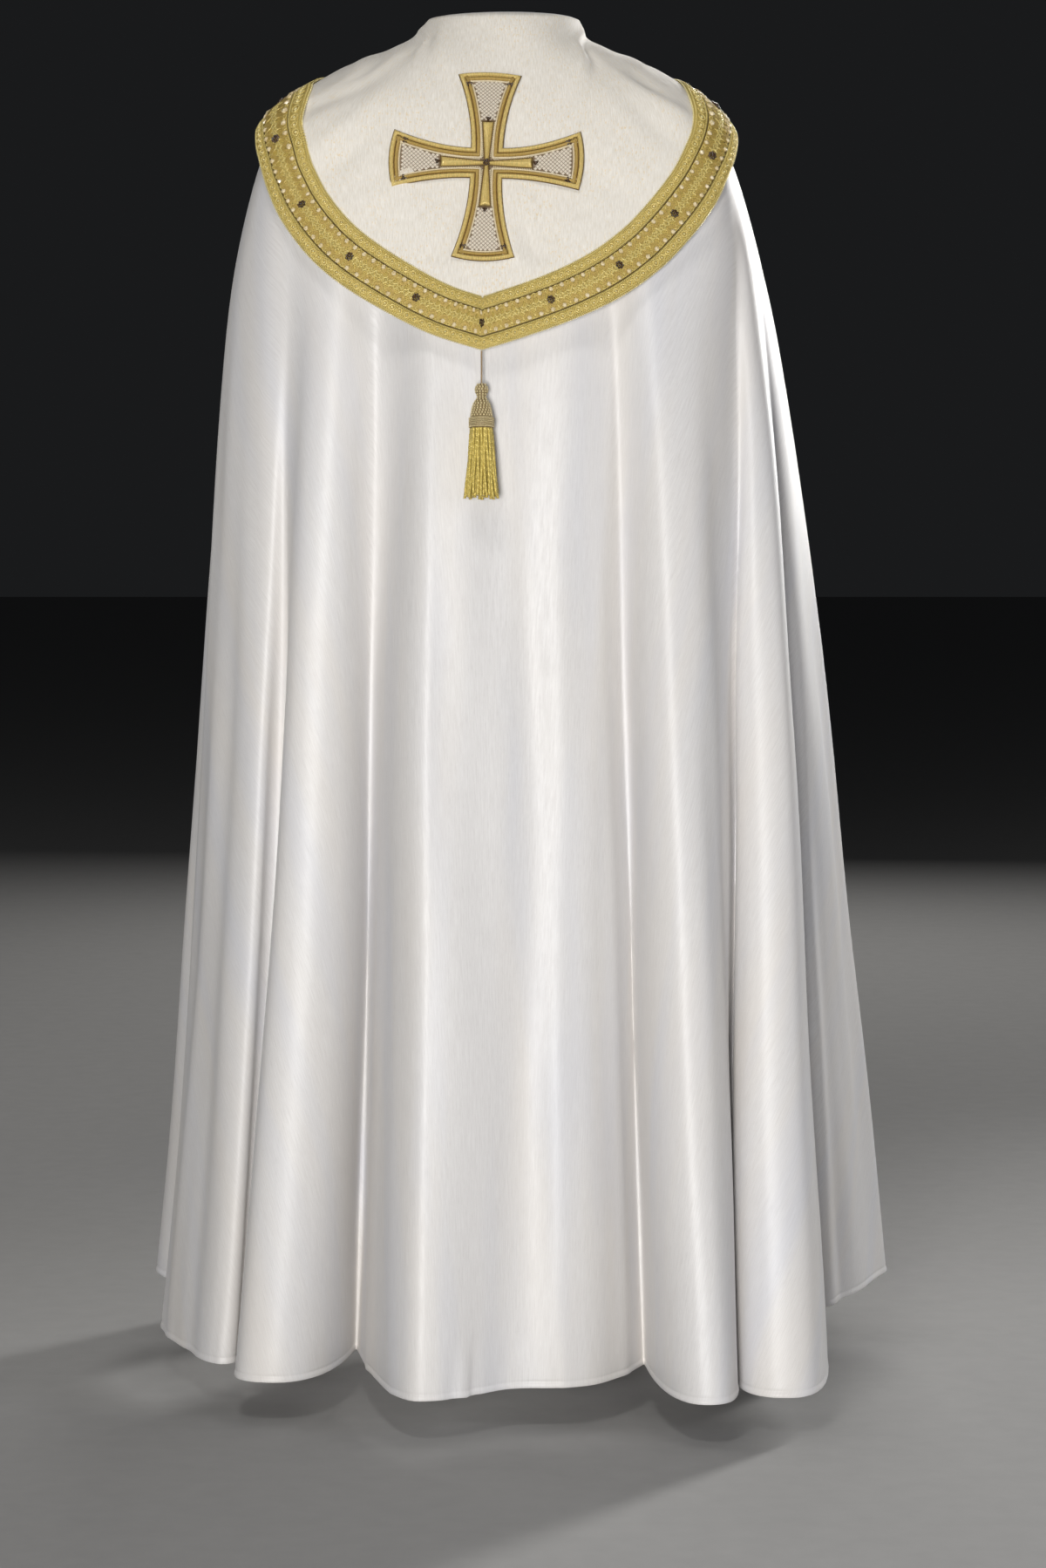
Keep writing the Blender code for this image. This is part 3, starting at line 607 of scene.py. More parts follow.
# gold thread laid side by side across a padded roll
def satinStitchFinish(name, dark, light, roughness, metallic):
    look = Finish(name, roughness, metallic)
    threads = look.stripes(look.cut((2300, 180, 1)), 0.32, 0.35)
    glints = look.noise(look.cut((900, 160, 1)), 1.0, 2.0)
    tone = look.blend(look.spread(threads, 0.1, 0.9), dark, light)
    look.colour(look.blend(look.spread(glints, 0.35, 0.7, 0.0, 0.4), tone, dark))
    look.rough(look.spread(glints, 0.3, 0.7, roughness - 0.06, roughness + 0.12))
    look.bump(threads, 0.00022, 0.55)
    return look.material


# plain thread, cord or bead, with a fine grain all over
def threadFinish(name, dark, light, roughness, metallic=0.0, grain=1400.0, bumps=0.00015, **constants):
    look = Finish(name, roughness, metallic, **constants)
    fibres = look.noise(look.space(), grain, 2.0)
    look.colour(look.blend(look.spread(fibres, 0.32, 0.68), dark, light))
    look.rough(look.spread(fibres, 0.3, 0.7, roughness - 0.05, roughness + 0.1))
    look.bump(fibres, bumps, 0.5)
    return look.material


print("materials")
satin = satinFinish()
crepe = crepeFinish()


# The cape

# metres along each row, counted from the middle of the back
def fromMiddle(points, turns):
    along = runLength(points, axis=1)
    return along - np.array([np.interp(0.0, turns, run) for run in along])[:, None]


def capeGrid():
    plainRows = np.arange(0.0, cape["length"] - 0.012, cape["rowHeight"])
    downs = np.concatenate((plainRows, cape["length"] - np.array(cape["hemRows"])))
    points, turns = capeRows(downs)
    heights = creaseHeights(downs, turns, fromMiddle(points, turns)) + waverHeights(downs, turns)
    fromHem = cape["length"] - downs
    hem = swell(fromHem, *cape["hemRoll"]) + swell(fromHem, *cape["hemSeam"])
    points = points + outwards(points) * (heights + hem[:, None])[..., None]
    along = fromMiddle(points, turns)
    bearing = along[-1] / (cape["neckRadius"] + cape["length"])
    radius = (cape["neckRadius"] + downs)[:, None]
    cut = np.stack((radius * np.sin(bearing), -radius * np.cos(bearing)), axis=-1)
    fall = np.stack((along, np.broadcast_to(-downs[:, None], along.shape)), axis=-1)
    print("hem length", along[-1, -1] - along[-1, 0])
    return points, cut, fall


print("cape")
capePiece = newPiece("cape_cloth", gridMesh("cape_cloth", *capeGrid()), satin, 60)
thicken(capePiece, cape["cloth"])
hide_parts("cope_body")


# The shield hood, behind the neck

hood = {
    "cloth": 0.0018,
    "solidCloth": 0.0026,
    "neckSetback": 0.004,
    "lift": 0.0008,
    "tipTurn": -0.031,
    "tipStandOff": 0.015,
    "sideStandOff": 0.0085,
    "standOffCurve": 1.7,
    "shoulder": (0.002, 0.56, 0.13),  # how far the stiff edge stands out there, at which turn, how wide
    "wave": 0.0012,
    "edgeWaves": ((1.0, 19, 9, 0.0), (0.6, 43, -15, 1.3)),
    "ripple": 0.0006,
    "rippleWaves": ((1.0, 70, 31, 0.0), (1.0, 47, -55, 2.0)),
    "creaseBow": 0.006,
    "flatEdge": (0.06, 0.03),  # no creases so near the edge, and how softly they start
    "flatNeck": (0.004, 0.02),
    "edgeRows": (14, 0.906),  # how many, and from which share of the way down
    "columns": 300,
    "rows": 66,
}

# where the hood ends: turn, and how far down
hoodLeftEdge = table(
    "turn down",
    (-1.000, 0.140), (-0.780, 0.157), (-0.580, 0.173), (-0.460, 0.181), (-0.390, 0.186), (-0.350, 0.195),
    (-0.316, 0.216), (-0.291, 0.247), (-0.262, 0.281), (-0.208, 0.328), (-0.145, 0.365), (-0.085, 0.393),
    (-0.031, 0.409),
)
hoodRightEdge = table(
    "turn down",
    (-0.031, 0.409), (0.015, 0.396), (0.085, 0.374), (0.135, 0.354), (0.185, 0.326), (0.227, 0.295),
    (0.267, 0.262), (0.306, 0.227), (0.340, 0.205), (0.375, 0.193), (0.415, 0.186), (0.470, 0.181),
    (0.620, 0.172), (0.780, 0.159), (1.000, 0.140),
)

# dents and creases of the hood's cloth: centre, how long and wide, which way it lies, how high
hoodCreases = table(
    "x down length width lean height",
    (-0.118, 0.060, 0.050, 0.010, 62, 0.0044),
    (-0.104, 0.072, 0.046, 0.008, 58, -0.0041),
    (-0.086, 0.050, 0.034, 0.007, 70, 0.0031),
    (-0.196, 0.176, 0.050, 0.012, -38, 0.0041),
    (-0.178, 0.198, 0.044, 0.010, -44, -0.0037),
    (-0.230, 0.140, 0.060, 0.014, -20, -0.0041),
    (0.040, 0.285, 0.045, 0.008, 72, -0.0036),
    (-0.130, 0.262, 0.050, 0.012, -60, 0.0030),
    (0.012, 0.318, 0.052, 0.011, 55, 0.0037),
    (0.030, 0.306, 0.046, 0.009, 60, -0.0034),
    (-0.070, 0.300, 0.040, 0.010, -50, -0.0031),
    (0.096, 0.066, 0.050, 0.010, -60, 0.0041),
    (0.112, 0.084, 0.050, 0.009, -55, -0.0037),
    (0.170, 0.170, 0.060, 0.013, 40, -0.0037),
    (0.196, 0.146, 0.050, 0.012, 32, 0.0041),
    (0.110, 0.232, 0.056, 0.014, 35, -0.0031),
    (-0.140, 0.240, 0.050, 0.013, -35, 0.0031),
)


def hoodEdgeDown(turn):
    left = column(hoodLeftEdge, "turn", "down", turn)
    right = column(hoodRightEdge, "turn", "down", turn)
    return np.where(turn < hood["tipTurn"], left, right)


def hoodPoint(turn, down, out=0.0):
    turn, down, out = sameShape(turn, down, out)
    share = down / hoodEdgeDown(turn)
    back = (1 - np.abs(turn)) ** 2
    standOff = mix(hood["sideStandOff"], hood["tipStandOff"], back)
    wave = crossingWaves(hood["edgeWaves"], turn, down)
    standOff = standOff + swell(np.abs(turn), *hood["shoulder"])
    lift = hood["lift"] + standOff * share ** hood["standOffCurve"] + hood["wave"] * wave * share**3
    return smoothPoint(turn, down, lift + hood["solidCloth"] + out)


def turnsByTip(count):
    tip = hood["tipTurn"]
    left = np.linspace(-1, tip, count // 2, endpoint=False)
    return np.concatenate((left, np.linspace(tip, 1, count // 2 + 1)))


# metres of cloth across the hood to one turn
def acrossPerTurn(turn, down):
    before, after = np.maximum(turn - reach, -1.0), np.minimum(turn + reach, 1.0)
    return np.linalg.norm(hoodPoint(after, down) - hoodPoint(before, down), axis=-1) / (after - before)


# points of the hood, and which way out of it is
def hoodGrid(turns, downs):
    rows = hoodPoint(turns, downs)
    return {"points": rows, "normals": hoodPoint(turns, downs, 1.0) - rows}


# The braid's bed: flat x goes along the hood's edge, flat y in from it

braid = {
    "width": 0.055,
    "cloth": 0.0012,
    "gap": 0.0003,
    "setback": 0.0006,
    "turnEasing": 0.034,  # how softly the band turns the corner at the tip
    "tipReach": 0.11,
    "slantRow": 0.02,  # how far in from the edge its slant is taken
    "columns": 620,
    "rows": 12,
    "ribs": 64,
    # height, how far from the middle, how wide, how square: the crown, a seam each side, the borders
    "relief": ((0.0011, 0.0, 0.011, 2), (-0.0007, 0.0136, 0.0009, 2), (0.0009, 0.0205, 0.0052, 4)),
}


def braidGrid():
    turns = turnsByTip(braid["columns"])
    edge = hoodEdgeDown(turns)
    xs = runLength(hoodPoint(turns, edge), axis=0)
    tipX = xs[np.argmin(np.abs(turns - hood["tipTurn"]))]
    lean = np.arctan(np.gradient(edge, turns) / acrossPerTurn(turns, edge))
    near = [swell(xs, 1.0, x, braid["turnEasing"]) for x in xs]
    soft = np.array([np.average(lean, weights=share * np.gradient(xs)) for share in near])
    soft += (lean - soft) * (1 - swell(xs, 1.0, tipX, braid["tipReach"]))
    ys = np.linspace(0.0, braid["width"], braid["rows"])
    away = ys[:, None] / np.cos(lean - soft)
    rowDown = edge - away * np.cos(soft)
    perTurn = acrossPerTurn(turns, edge - braid["slantRow"])
    rowTurn = np.clip(turns + away * np.sin(soft) / perTurn, -1.0, 1.0)
    return {**hoodGrid(rowTurn, rowDown), "xs": xs, "ys": ys, "tipX": tipX}


def hoodCloth():
    turns = turnsByTip(hood["columns"])
    edgeRows, edgeStart = hood["edgeRows"]
    upper = np.linspace(0.0, 0.9, hood["rows"] - edgeRows)
    shares = np.concatenate((upper, np.linspace(edgeStart, 1.0, edgeRows)))
    edge = hoodEdgeDown(turns)
    downs = mix(hood["neckSetback"], edge[None, :], shares[:, None])
    rows = hoodPoint(np.broadcast_to(turns, downs.shape), downs)
    across = runLength(rows, axis=1)
    middle = np.argmin(np.abs(turns))
    across -= across[:, middle:middle + 1]
    heights = np.zeros_like(across)
    for centre, down, length, width, lean, height in zip(*hoodCreases.values()):
        lean = math.radians(lean)
        x, y = across - centre, downs - down
        along = (x * math.cos(lean) + y * math.sin(lean)) / length
        aside = (y * math.cos(lean) - x * math.sin(lean) + hood["creaseBow"] * along**2) / width
        heights += height * np.exp(-(along**2) - aside**2)
    heights += hood["ripple"] * crossingWaves(hood["rippleWaves"], across, downs)
    for gap, (flat, soft) in ((edge[None, :] - downs, hood["flatEdge"]), (downs, hood["flatNeck"])):
        heights *= smoothStep((gap - flat) / soft)
    points = rows + outwards(rows) * heights[..., None]
    return points, np.stack((across, -downs), axis=-1)


print("hood")
hoodPiece = newPiece("hood_cloth", gridMesh("hood_cloth", *hoodCloth()), crepe, 60)
thicken(hoodPiece, hood["cloth"])
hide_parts("hood")


# The braid itself, made flat and laid on its bed

print("braid")
braidBed = braidGrid()
braidLength = float(braidBed["xs"][-1])
print("braid length", braidLength)

gold = {
    "weave": goldBraidFinish("greenish gold weave", (0.2, 0.135, 0.024), (0.8, 0.61, 0.16), 0.4, 0.15,
                             0.0017),
    "border": goldBraidFinish("pale gold border", (0.18, 0.13, 0.024), (0.86, 0.7, 0.23), 0.38, 0.15,
                              0.0016),
    "cord": threadFinish("pale gold cord", (0.46, 0.35, 0.085), (0.9, 0.76, 0.3), 0.34, 0.2),
    "loop": threadFinish("bright gold loops", (0.58, 0.43, 0.1), (0.98, 0.84, 0.36), 0.26, 0.2),
    "leaf": threadFinish("warm gold leaves", (0.3, 0.19, 0.036), (0.76, 0.56, 0.17), 0.34, 0.2),
    "dark": threadFinish("dark olive gimp", (0.05, 0.03, 0.006), (0.14, 0.09, 0.022), 0.55, 0.15),
    "glint": threadFinish("glinting eyelets", (0.72, 0.58, 0.2), (0.98, 0.9, 0.52), 0.18, 0.3),
    "pearl": threadFinish("pearly lumps", (0.66, 0.5, 0.24), (0.95, 0.83, 0.56), 0.22, 0.0, 500.0, 0.0001,
                          **{"Coat Weight": 0.4, "Coat Roughness": 0.15}),
    "bead": threadFinish("brown glass beads", (0.03, 0.014, 0.006), (0.085, 0.04, 0.016), 0.1, 0.0, 300.0,
                         0.00004, **{"Coat Weight": 1.0, "Coat Roughness": 0.05}),
}


# a long flat strip with a chosen cross-section, as rows of (y, z)
def stripMesh(name, start, end, profile, step=0.004):
    bm = bmesh.new()
    count = int((end - start) / step)
    bmesh.ops.create_grid(bm, x_segments=count, y_segments=len(profile) - 1, size=1.0)
    mesh = meshFrom(bm, name)
    flat = readPoints(mesh)
    row = np.rint((flat[:, 1] + 1) / 2 * (len(profile) - 1)).astype(int)
    x = mix(start, end, (flat[:, 0] + 1) / 2)
    writePoints(mesh, np.column_stack((x, np.array(profile)[row])))
    return mesh


# a low arch, as rows of (y, z)
def archProfile(middle, width, height, base, steps=4):
    angles = np.linspace(0, math.pi, steps + 1)
    return [(middle - width / 2 * math.cos(a), base + height * math.sin(a)) for a in angles]


def evenly(start, end, pitch):
    count = int((end - start) / pitch)
    return [start + (end - start - count * pitch) / 2 + pitch * i for i in range(count + 1)]


def laidPiece(name, bm, finish, bed, sharpAngle=180):
    mesh = meshFrom(bm, name) if isinstance(bm, bmesh.types.BMesh) else bm
    layMesh(mesh, bed)
    piece = newPiece(name, mesh, finish, sharpAngle)
    return piece


def braidBand():
    half = braid["width"] / 2
    ys = np.linspace(braid["setback"], braid["width"] - braid["setback"], braid["ribs"])
    base = braid["gap"] + braid["cloth"]
    profile = [(y, sum((swell(abs(y - half), *rib) for rib in braid["relief"]), base)) for y in ys]
    return stripMesh("braid_band", 0.0, braidLength, profile, 0.003)


bandPiece = laidPiece("braid_band", braidBand(), gold["weave"], braidBed)
thicken(bandPiece, braid["cloth"])
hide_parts("hood_braid")

# rows of the borders, measured in from the outer edge; the inner border is their mirror
border = {
    "ends": 0.004,
    "top": 0.0026,
    "eyeletRow": 0.0072,
    "eyeletPitch": 0.009,
    "eyelet": (0.0029, 0.0013, 6, 12),  # radius, thickness, sides, steps
    "dot": (0.0026, 0.0026, 0.003),
    "bar": (0.0072, 0.001),
    "barLean": 1.05,
    "cordRows": ((0.0022, -0.85), (0.0122, 0.85)),  # with the lean of their stitches
    "stitch": (0.0031, 0.0013),
    "stitchPitch": 0.0021,
    "seamRow": 0.0139,
    "seam": (0.0011, 0.001),
    "picot": (0.0019, 0.0019, 0.0016, 1),
    "picotPitch": 0.0023,
    "picotRow": 0.0002,
    # its strip: how far in, how far under the top
    "strip": ((0.0012, 0.0012), (0.0022, 0.0004), (0.004, 0.0004), (0.0072, 0.0006), (0.0104, 0.0004),
              (0.0122, 0.0004), (0.0132, 0.0012)),
    "cloth": 0.0008,
    # how far over the strip's top each part lies
    "over": {"stitch": 0.0002, "picot": -0.001, "seam": -0.0012, "loop": 0.0006, "dot": 0.0003},
}


def borderPieces(side, replaced):
    outer = side == "outer"
    flip, top = 1 if outer else -1, border["top"]
    height = {part: top + over for part, over in border["over"].items()}
    ends = (border["ends"], braidLength - border["ends"])

    def inFrom(y):
        return y if outer else braid["width"] - y

    places = evenly(*ends, border["eyeletPitch"])
    row = inFrom(border["eyeletRow"])
    crossed = [
        place(x + border["eyeletPitch"] / 2, row, top, turned)
        for x in places[:-1] for turned in (border["barLean"], -border["barLean"])
    ]
    stitches = [
        place(x, inFrom(cordRow), height["stitch"], flip * lean)
        for cordRow, lean in border["cordRows"] for x in evenly(*ends, border["stitchPitch"])
    ]
    picotRow = inFrom(border["picotRow"])
    picots = [place(x, picotRow, height["picot"]) for x in evenly(*ends, border["picotPitch"])]
    seamWidth, seamHeight = border["seam"]
    arch = archProfile(inFrom(border["seamRow"]), flip * seamWidth, seamHeight, height["seam"])
    loops = [place(x, row, height["loop"]) for x in places]
    dots = [place(x, row, height["dot"]) for x in places]
    for part, stamps, finish in (
        ("picots", [(beadShape(*border["picot"]), picots)], "glint"),
        ("loops", [(ringShape(*border["eyelet"]), loops)], "loop"),
        ("eyelets", [(beadShape(*border["dot"]), dots)], "glint"),
        ("cords", [(stitchShape(*border["bar"]), crossed), (stitchShape(*border["stitch"]), stitches)],
         "cord"),
    ):
        laidPiece(f"braid_{side}_{part}", stamped(stamps), gold[finish], braidBed)
    name = f"braid_{side}_seam"
    laidPiece(name, stripMesh(name, *ends, arch), gold["dark"], braidBed)
    rows = [(inFrom(y), top - under) for y, under in border["strip"]][::flip]
    name = f"braid_{side}_border"
    strip = laidPiece(name, stripMesh(name, *ends, rows), gold["border"], braidBed)
    thicken(strip, border["cloth"])
    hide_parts(replaced)


borderPieces("outer", "braid_outer_chain")
borderPieces("inner", "braid_inner_chain")

# the patterned middle of the braid: staggered loops and padded leaves, a pale lump to each, and beads now
# and then
middle = {
    "row": 0.0275,
    "top": 0.0026,
    "pitch": 0.0135,
    "lump": (0.0056, 0.0056, 0.0044, 1),
    "lumpRow": 0.0106,
    "leaf": (0.0088, 0.004, 0.0019, 12, 2),
    "leafPlace": (0.003, 0.0072, 0.95),  # along, across, lean
    "loop": (0.0034, 0.0012, 5, 12, 1.45),
    "loopRow": 0.0058,
    "loopLean": 0.62,
    "smallLoop": (0.0022, 0.001, 5, 9),
    "smallLoopRow": 0.0107,
    "speck": (0.0022, 0.0022, 0.0018, 1),
    "speckRows": (0.0022, 0.0092),
    "crossing": (0.0086, 0.0011),
    "crossingPitch": 0.0045,
    "crossingLean": 0.75,
    "bead": (0.0029, 0.0029, 0.0028),
    "clusterPitch": 0.088,
    "petals": 7,
    "petalRadius": 0.0033,
    "over": {"lump": 0.001, "loop": 0.0007, "smallLoop": 0.0002, "nearSpeck": 0.0002, "farSpeck": -0.0002,
             "crossing": 0.0009, "bead": 0.0032, "petal": 0.0022},
}


def middlePieces():
    mid, top, pitch = middle["row"], middle["top"], middle["pitch"]
    height = {part: top + over for part, over in middle["over"].items()}
    leafAlong, leafAcross, leafLean = middle["leafPlace"]
    nearSpeck, farSpeck = middle["speckRows"]
    lumps, leaves, loops, smallLoops, specks = [], [], [], [], []
    for k, x in enumerate(evenly(0.01, braidLength - 0.01, pitch)):
        for side, at in ((1, x), (-1, x + pitch / 2)):
            lumps.append(place(at, mid + side * middle["lumpRow"], height["lump"], 0.9 * k))
            leafRow = mid + side * leafAcross
            leaves.append(place(at + leafAlong, leafRow, top, side * leafLean))
            leaves.append(place(at - leafAlong, leafRow, top, side * (math.pi - leafLean)))
            for step in (0.0, pitch / 2):
                loopRow = mid + side * middle["loopRow"]
                loops.append(place(at + step, loopRow, height["loop"], -side * middle["loopLean"]))
            smallLoops.append(place(at + pitch / 2, mid + side * middle["smallLoopRow"], height["smallLoop"]))
            specks.append(place(at + pitch / 4, mid + side * nearSpeck, height["nearSpeck"]))
            specks.append(place(at - pitch / 4, mid + side * farSpeck, height["farSpeck"]))
    crossings = []
    for k, x in enumerate(evenly(0.006, braidLength - 0.006, middle["crossingPitch"])):
        for lean in (middle["crossingLean"], -middle["crossingLean"]):
            across = mid + 0.0006 * math.sin(k * 2.3)
            crossings.append(place(x, across, height["crossing"], lean + 0.15 * math.sin(k)))
    beads = []
    for k in range(-8, 9):
        x = braidBed["tipX"] + k * middle["clusterPitch"]
        if not 0.02 < x < braidLength - 0.02:
            continue
        beads.append(place(x, mid, height["bead"], 0.0, (1.2, 1.2, 1.2)))
        for petal in range(middle["petals"]):
            angle = petal * 2 * math.pi / middle["petals"] + k
            outX, outY = middle["petalRadius"] * math.cos(angle), middle["petalRadius"] * math.sin(angle)
            beads.append(place(x + outX, mid + outY, height["petal"]))
    looped = [(ringShape(*middle["loop"]), loops), (ringShape(*middle["smallLoop"]), smallLoops)]
    for part, stamps, finish, sharpAngle in (
        ("lumps", [(beadShape(*middle["lump"]), lumps)], "pearl", 20),
        ("leaves", [(padShape(*middle["leaf"]), leaves)], "leaf", 180),
        ("middle_loops", looped, "loop", 180),
        ("specks", [(beadShape(*middle["speck"]), specks)], "dark", 180),
        ("crossings", [(stitchShape(*middle["crossing"]), crossings)], "cord", 180),
        ("beads", [(beadShape(*middle["bead"]), beads)], "bead", 180),
    ):
        laidPiece(f"braid_{part}", stamped(stamps), gold[finish], braidBed, sharpAngle)


middlePieces()


# The cross

cross = {
    "x": -0.024,
    "down": 0.2025,
    "lean": math.tan(math.radians(2)),
    "armAcross": 0.0985,
    "armDown": 0.106,
    "rootHalf": 0.0172,
    "endHalf": 0.0335,
    "flare": 1.9,
    "bow": 0.0046,
    "cloth": 0.001,
    "lift": 0.0005,
    "gridStep": 0.004,
    "gridHalf": 0.118,
    "cell": (0.0038, 0.0038, 0.0013, 4, 2),
    "cellPitch": 0.0032,
    "latticeReach": 0.108,
    "latticeInset": 0.0126,  # from the outline
    "latticeGap": 0.003,  # round the small cross
    "bead": (0.003, 0.003, 0.0028),
}

# the rolls round it: each one's stitches, and its section as how far in from the outline and how high
crossRolls = {
    "outline": ("brown", ((0.0, 0.0), (0.0, 0.0012), (0.0005, 0.0016), (0.001, 0.001))),
    "outerRoll": ("bright", ((0.0006, 0.0006), (0.0008, 0.0022), (0.0016, 0.0038), (0.0029, 0.0045),
                             (0.0042, 0.004), (0.0051, 0.0025), (0.0053, 0.0008))),
    # painted shade: a dark brown strip laid low in the groove between the two rolls, for the groove's shadow
    "paintedGrooveShade": ("brown", ((0.0048, 0.0008), (0.0053, 0.0014), (0.0058, 0.0015), (0.0063, 0.0014),
                         (0.0068, 0.0008))),
    "innerRoll": ("bronze", ((0.0061, 0.0006), (0.0063, 0.002), (0.0071, 0.0034), (0.0081, 0.0037),
                             (0.0091, 0.0031), (0.0098, 0.0015), (0.0099, 0.0002))),
    "whiteCord": ("white", ((0.0099, 0.0002), (0.0101, 0.0014), (0.0108, 0.002), (0.0115, 0.0014),
                            (0.0118, 0.0002))),
}


# the cross's bed: flat x to the right of its centre, flat y up from it
def crossGrid():
    steps = int(2 * cross["gridHalf"] / cross["gridStep"]) + 1
    xs = ys = np.linspace(-cross["gridHalf"], cross["gridHalf"], steps)
    x, y = np.meshgrid(xs, ys)
    down = cross["down"] - y
    wanted = cross["x"] + x + y * cross["lean"]
    low, high = np.full_like(wanted, -0.6), np.full_like(wanted, 0.6)
    for _ in range(24):
        half = (low + high) / 2
        short = smoothPoint(half, down, 0.0)[..., 0] < wanted
        low, high = np.where(short, half, low), np.where(short, high, half)
    return {**hoodGrid(low, down), "xs": xs, "ys": ys}


def quarterTurned(point, quarters):
    x, y = point
    for _ in range(quarters):
        x, y = y, -x
    return x, y


def crossArmPoint(length, share, side):
    half = mix(cross["rootHalf"], cross["endHalf"], share ** cross["flare"])
    bow = cross["bow"] * (1 - side * side) * share * share
    return side * half, mix(cross["rootHalf"], length, share) + bow


def crossOutline(sideSteps=18, endSteps=12):
    points = []
    for quarters in range(4):
        length = cross["armDown"] if quarters % 2 == 0 else cross["armAcross"]
        climb = [crossArmPoint(length, i / sideSteps, -1.0) for i in range(sideSteps)]
        end = [crossArmPoint(length, 1.0, -1 + 2 * i / endSteps) for i in range(endSteps + 1)]
        fall = [crossArmPoint(length, 1 - i / sideSteps, 1.0) for i in range(1, sideSteps)]
        points += [quarterTurned(point, quarters) for point in climb + end + fall]
    return np.array(points)


def insetOutline(outline, distance):
    before = unit(outline - np.roll(outline, 1, axis=0))
    after = unit(np.roll(outline, -1, axis=0) - outline)
    across = unit(np.stack((before[:, 1] + after[:, 1], -before[:, 0] - after[:, 0]), axis=-1))
    halfTurn = across[:, 0] * before[:, 1] - across[:, 1] * before[:, 0]
    return outline + across * (distance / halfTurn)[:, None]


# a roll carried round the outline: one loop of edges, drawn out step by step to the next inset and height
def outlineRoll(name, rows, outline):
    bm = bmesh.new()
    number = bm.verts.layers.int.new("number")
    verts = [bm.verts.new((x, y, rows[0][1])) for x, y in insetOutline(outline, rows[0][0])]
    for i, vert in enumerate(verts):
        vert[number] = i
    edges = [bm.edges.new((verts[i - 1], verts[i])) for i in range(len(verts))]
    for insetBy, height in rows[1:]:
        moved = insetOutline(outline, insetBy)
        drawn = bmesh.ops.extrude_edge_only(bm, edges=edges)
        edges = drawnOut(drawn, bmesh.types.BMEdge)
        for vert in drawnOut(drawn, bmesh.types.BMVert):
            vert.co = (*moved[vert[number]], height)
    faceUp(bm)
    return meshFrom(bm, name)


# how far inside the cross's outline a flat point lies, roughly
def insideCross(x, y, outline):
    gap = np.min(np.hypot(outline[:, 0] - x, outline[:, 1] - y))
    px, py = outline[:, 0], outline[:, 1]
    qx, qy = np.roll(px, -1), np.roll(py, -1)
    crosses = ((py > y) != (qy > y)) & (x < px + (y - py) * (qx - px) / np.where(qy == py, 1e-9, qy - py))
    return gap if crosses.sum() % 2 else -gap


print("cross")
crossBed = crossGrid()
crossEdge = crossOutline()
fineEdge = crossOutline(60, 40)
base = cross["lift"] + cross["cloth"]

stitch = {
    "bright": satinStitchFinish("padded gold stitches", (0.6, 0.39, 0.085), (1.0, 0.84, 0.36), 0.24, 0.2),
    "bronze": satinStitchFinish("bronze stitches", (0.34, 0.205, 0.045), (0.78, 0.57, 0.19), 0.28, 0.2),
    # brown stitches for the outline and the small cross's edge, and as painted shade in the groove
    "brown": satinStitchFinish("brown stitches and painted groove shade", (0.06, 0.034, 0.01), (0.26, 0.155, 0.04), 0.44, 0.2),
    "white": threadFinish("cream cord", (0.58, 0.48, 0.3), (0.88, 0.78, 0.56), 0.5),
    # painted shade: the dark brown ground showing between and round the cream lattice cells stands in for the
    # shade in the mesh's holes
    "ground": threadFinish("brown ground painted as lattice hole shade", (0.14, 0.095, 0.055), (0.3, 0.215, 0.13), 0.6),
    "mesh": threadFinish("cream mesh", (0.6, 0.52, 0.4), (0.86, 0.78, 0.66), 0.5),
}

# the small raised cross in the middle
innerCross = {
    "arm": 0.048,
    "rootHalf": 0.0017,
    "endHalf": 0.0054,
    "rise": 0.0042,
    "edgeRise": 0.001,
    "cloth": 0.001,
    "edge": 0.0013,
    "cord": 0.0012,
    "stitch": (0.0026, 0.0013),
    "stitchPitch": 0.0018,
    "crown": 1.25,  # a lower power is sharper
    "endEasing": 0.0025,
}

# beads in clusters: the radius of each ring, how many, and how high
clusters = {"middle": (0.0027, 6, 0.0052), "armEnd": (0.0016, 3, 0.0022), "corner": (0.0024, 5, 0.003)}
clusterInset = 0.0118  # of the corner clusters, from the cross's corners
clusterGap = 0.004  # past the arms of the small cross


# how far a flat point lies outside the small cross
def innerCrossGap(x, y):
    along, across = max(abs(x), abs(y)), min(abs(x), abs(y))
    half = mix(innerCross["rootHalf"], innerCross["endHalf"], min(1.0, along / innerCross["arm"]))
    return max(across - half, along - innerCross["arm"])


def crossPieces():
    bm = bmesh.new()
    verts = [bm.verts.new((x, y, base)) for x, y in insetOutline(crossEdge, 0.0004)]
    face = bm.faces.new(verts)
    bmesh.ops.triangulate(bm, faces=[face])
    bmesh.ops.subdivide_edges(bm, edges=bm.edges[:], cuts=3, use_grid_fill=True)
    faceUp(bm)
    # its dark brown is painted shade for the lattice's holes
    clothPiece = laidPiece("cross_cloth", bm, stitch["ground"], crossBed)
    thicken(clothPiece, cross["cloth"])
    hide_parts("cross_ground")
    for name, (finish, profile) in crossRolls.items():
        rows = [(insetBy, base + height) for insetBy, height in profile]
        roll = outlineRoll(name, rows, crossEdge)
        piece = laidPiece(f"cross_{name}", roll, stitch[finish], crossBed)
        if name == "outerRoll":
            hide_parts("cross_frame")
    pitch, cells = cross["cellPitch"], []
    count = 2 * int(cross["gridHalf"] / pitch) + 2
    for i in range(-count, count):
        for k in range(-count, count):
            x, y = (i + k) * pitch / math.sqrt(2), (i - k) * pitch / math.sqrt(2)
            if max(abs(x), abs(y)) > cross["latticeReach"] or innerCrossGap(x, y) < cross["latticeGap"]:
                continue
            if insideCross(x, y, fineEdge) > cross["latticeInset"]:
                cells.append(place(x, y, base - 0.0001))
    lattice = stamped([(padShape(*cross["cell"]), cells)])
    laidPiece("cross_lattice", lattice, stitch["mesh"], crossBed)
    print("lattice cells", len(cells))


crossPieces()


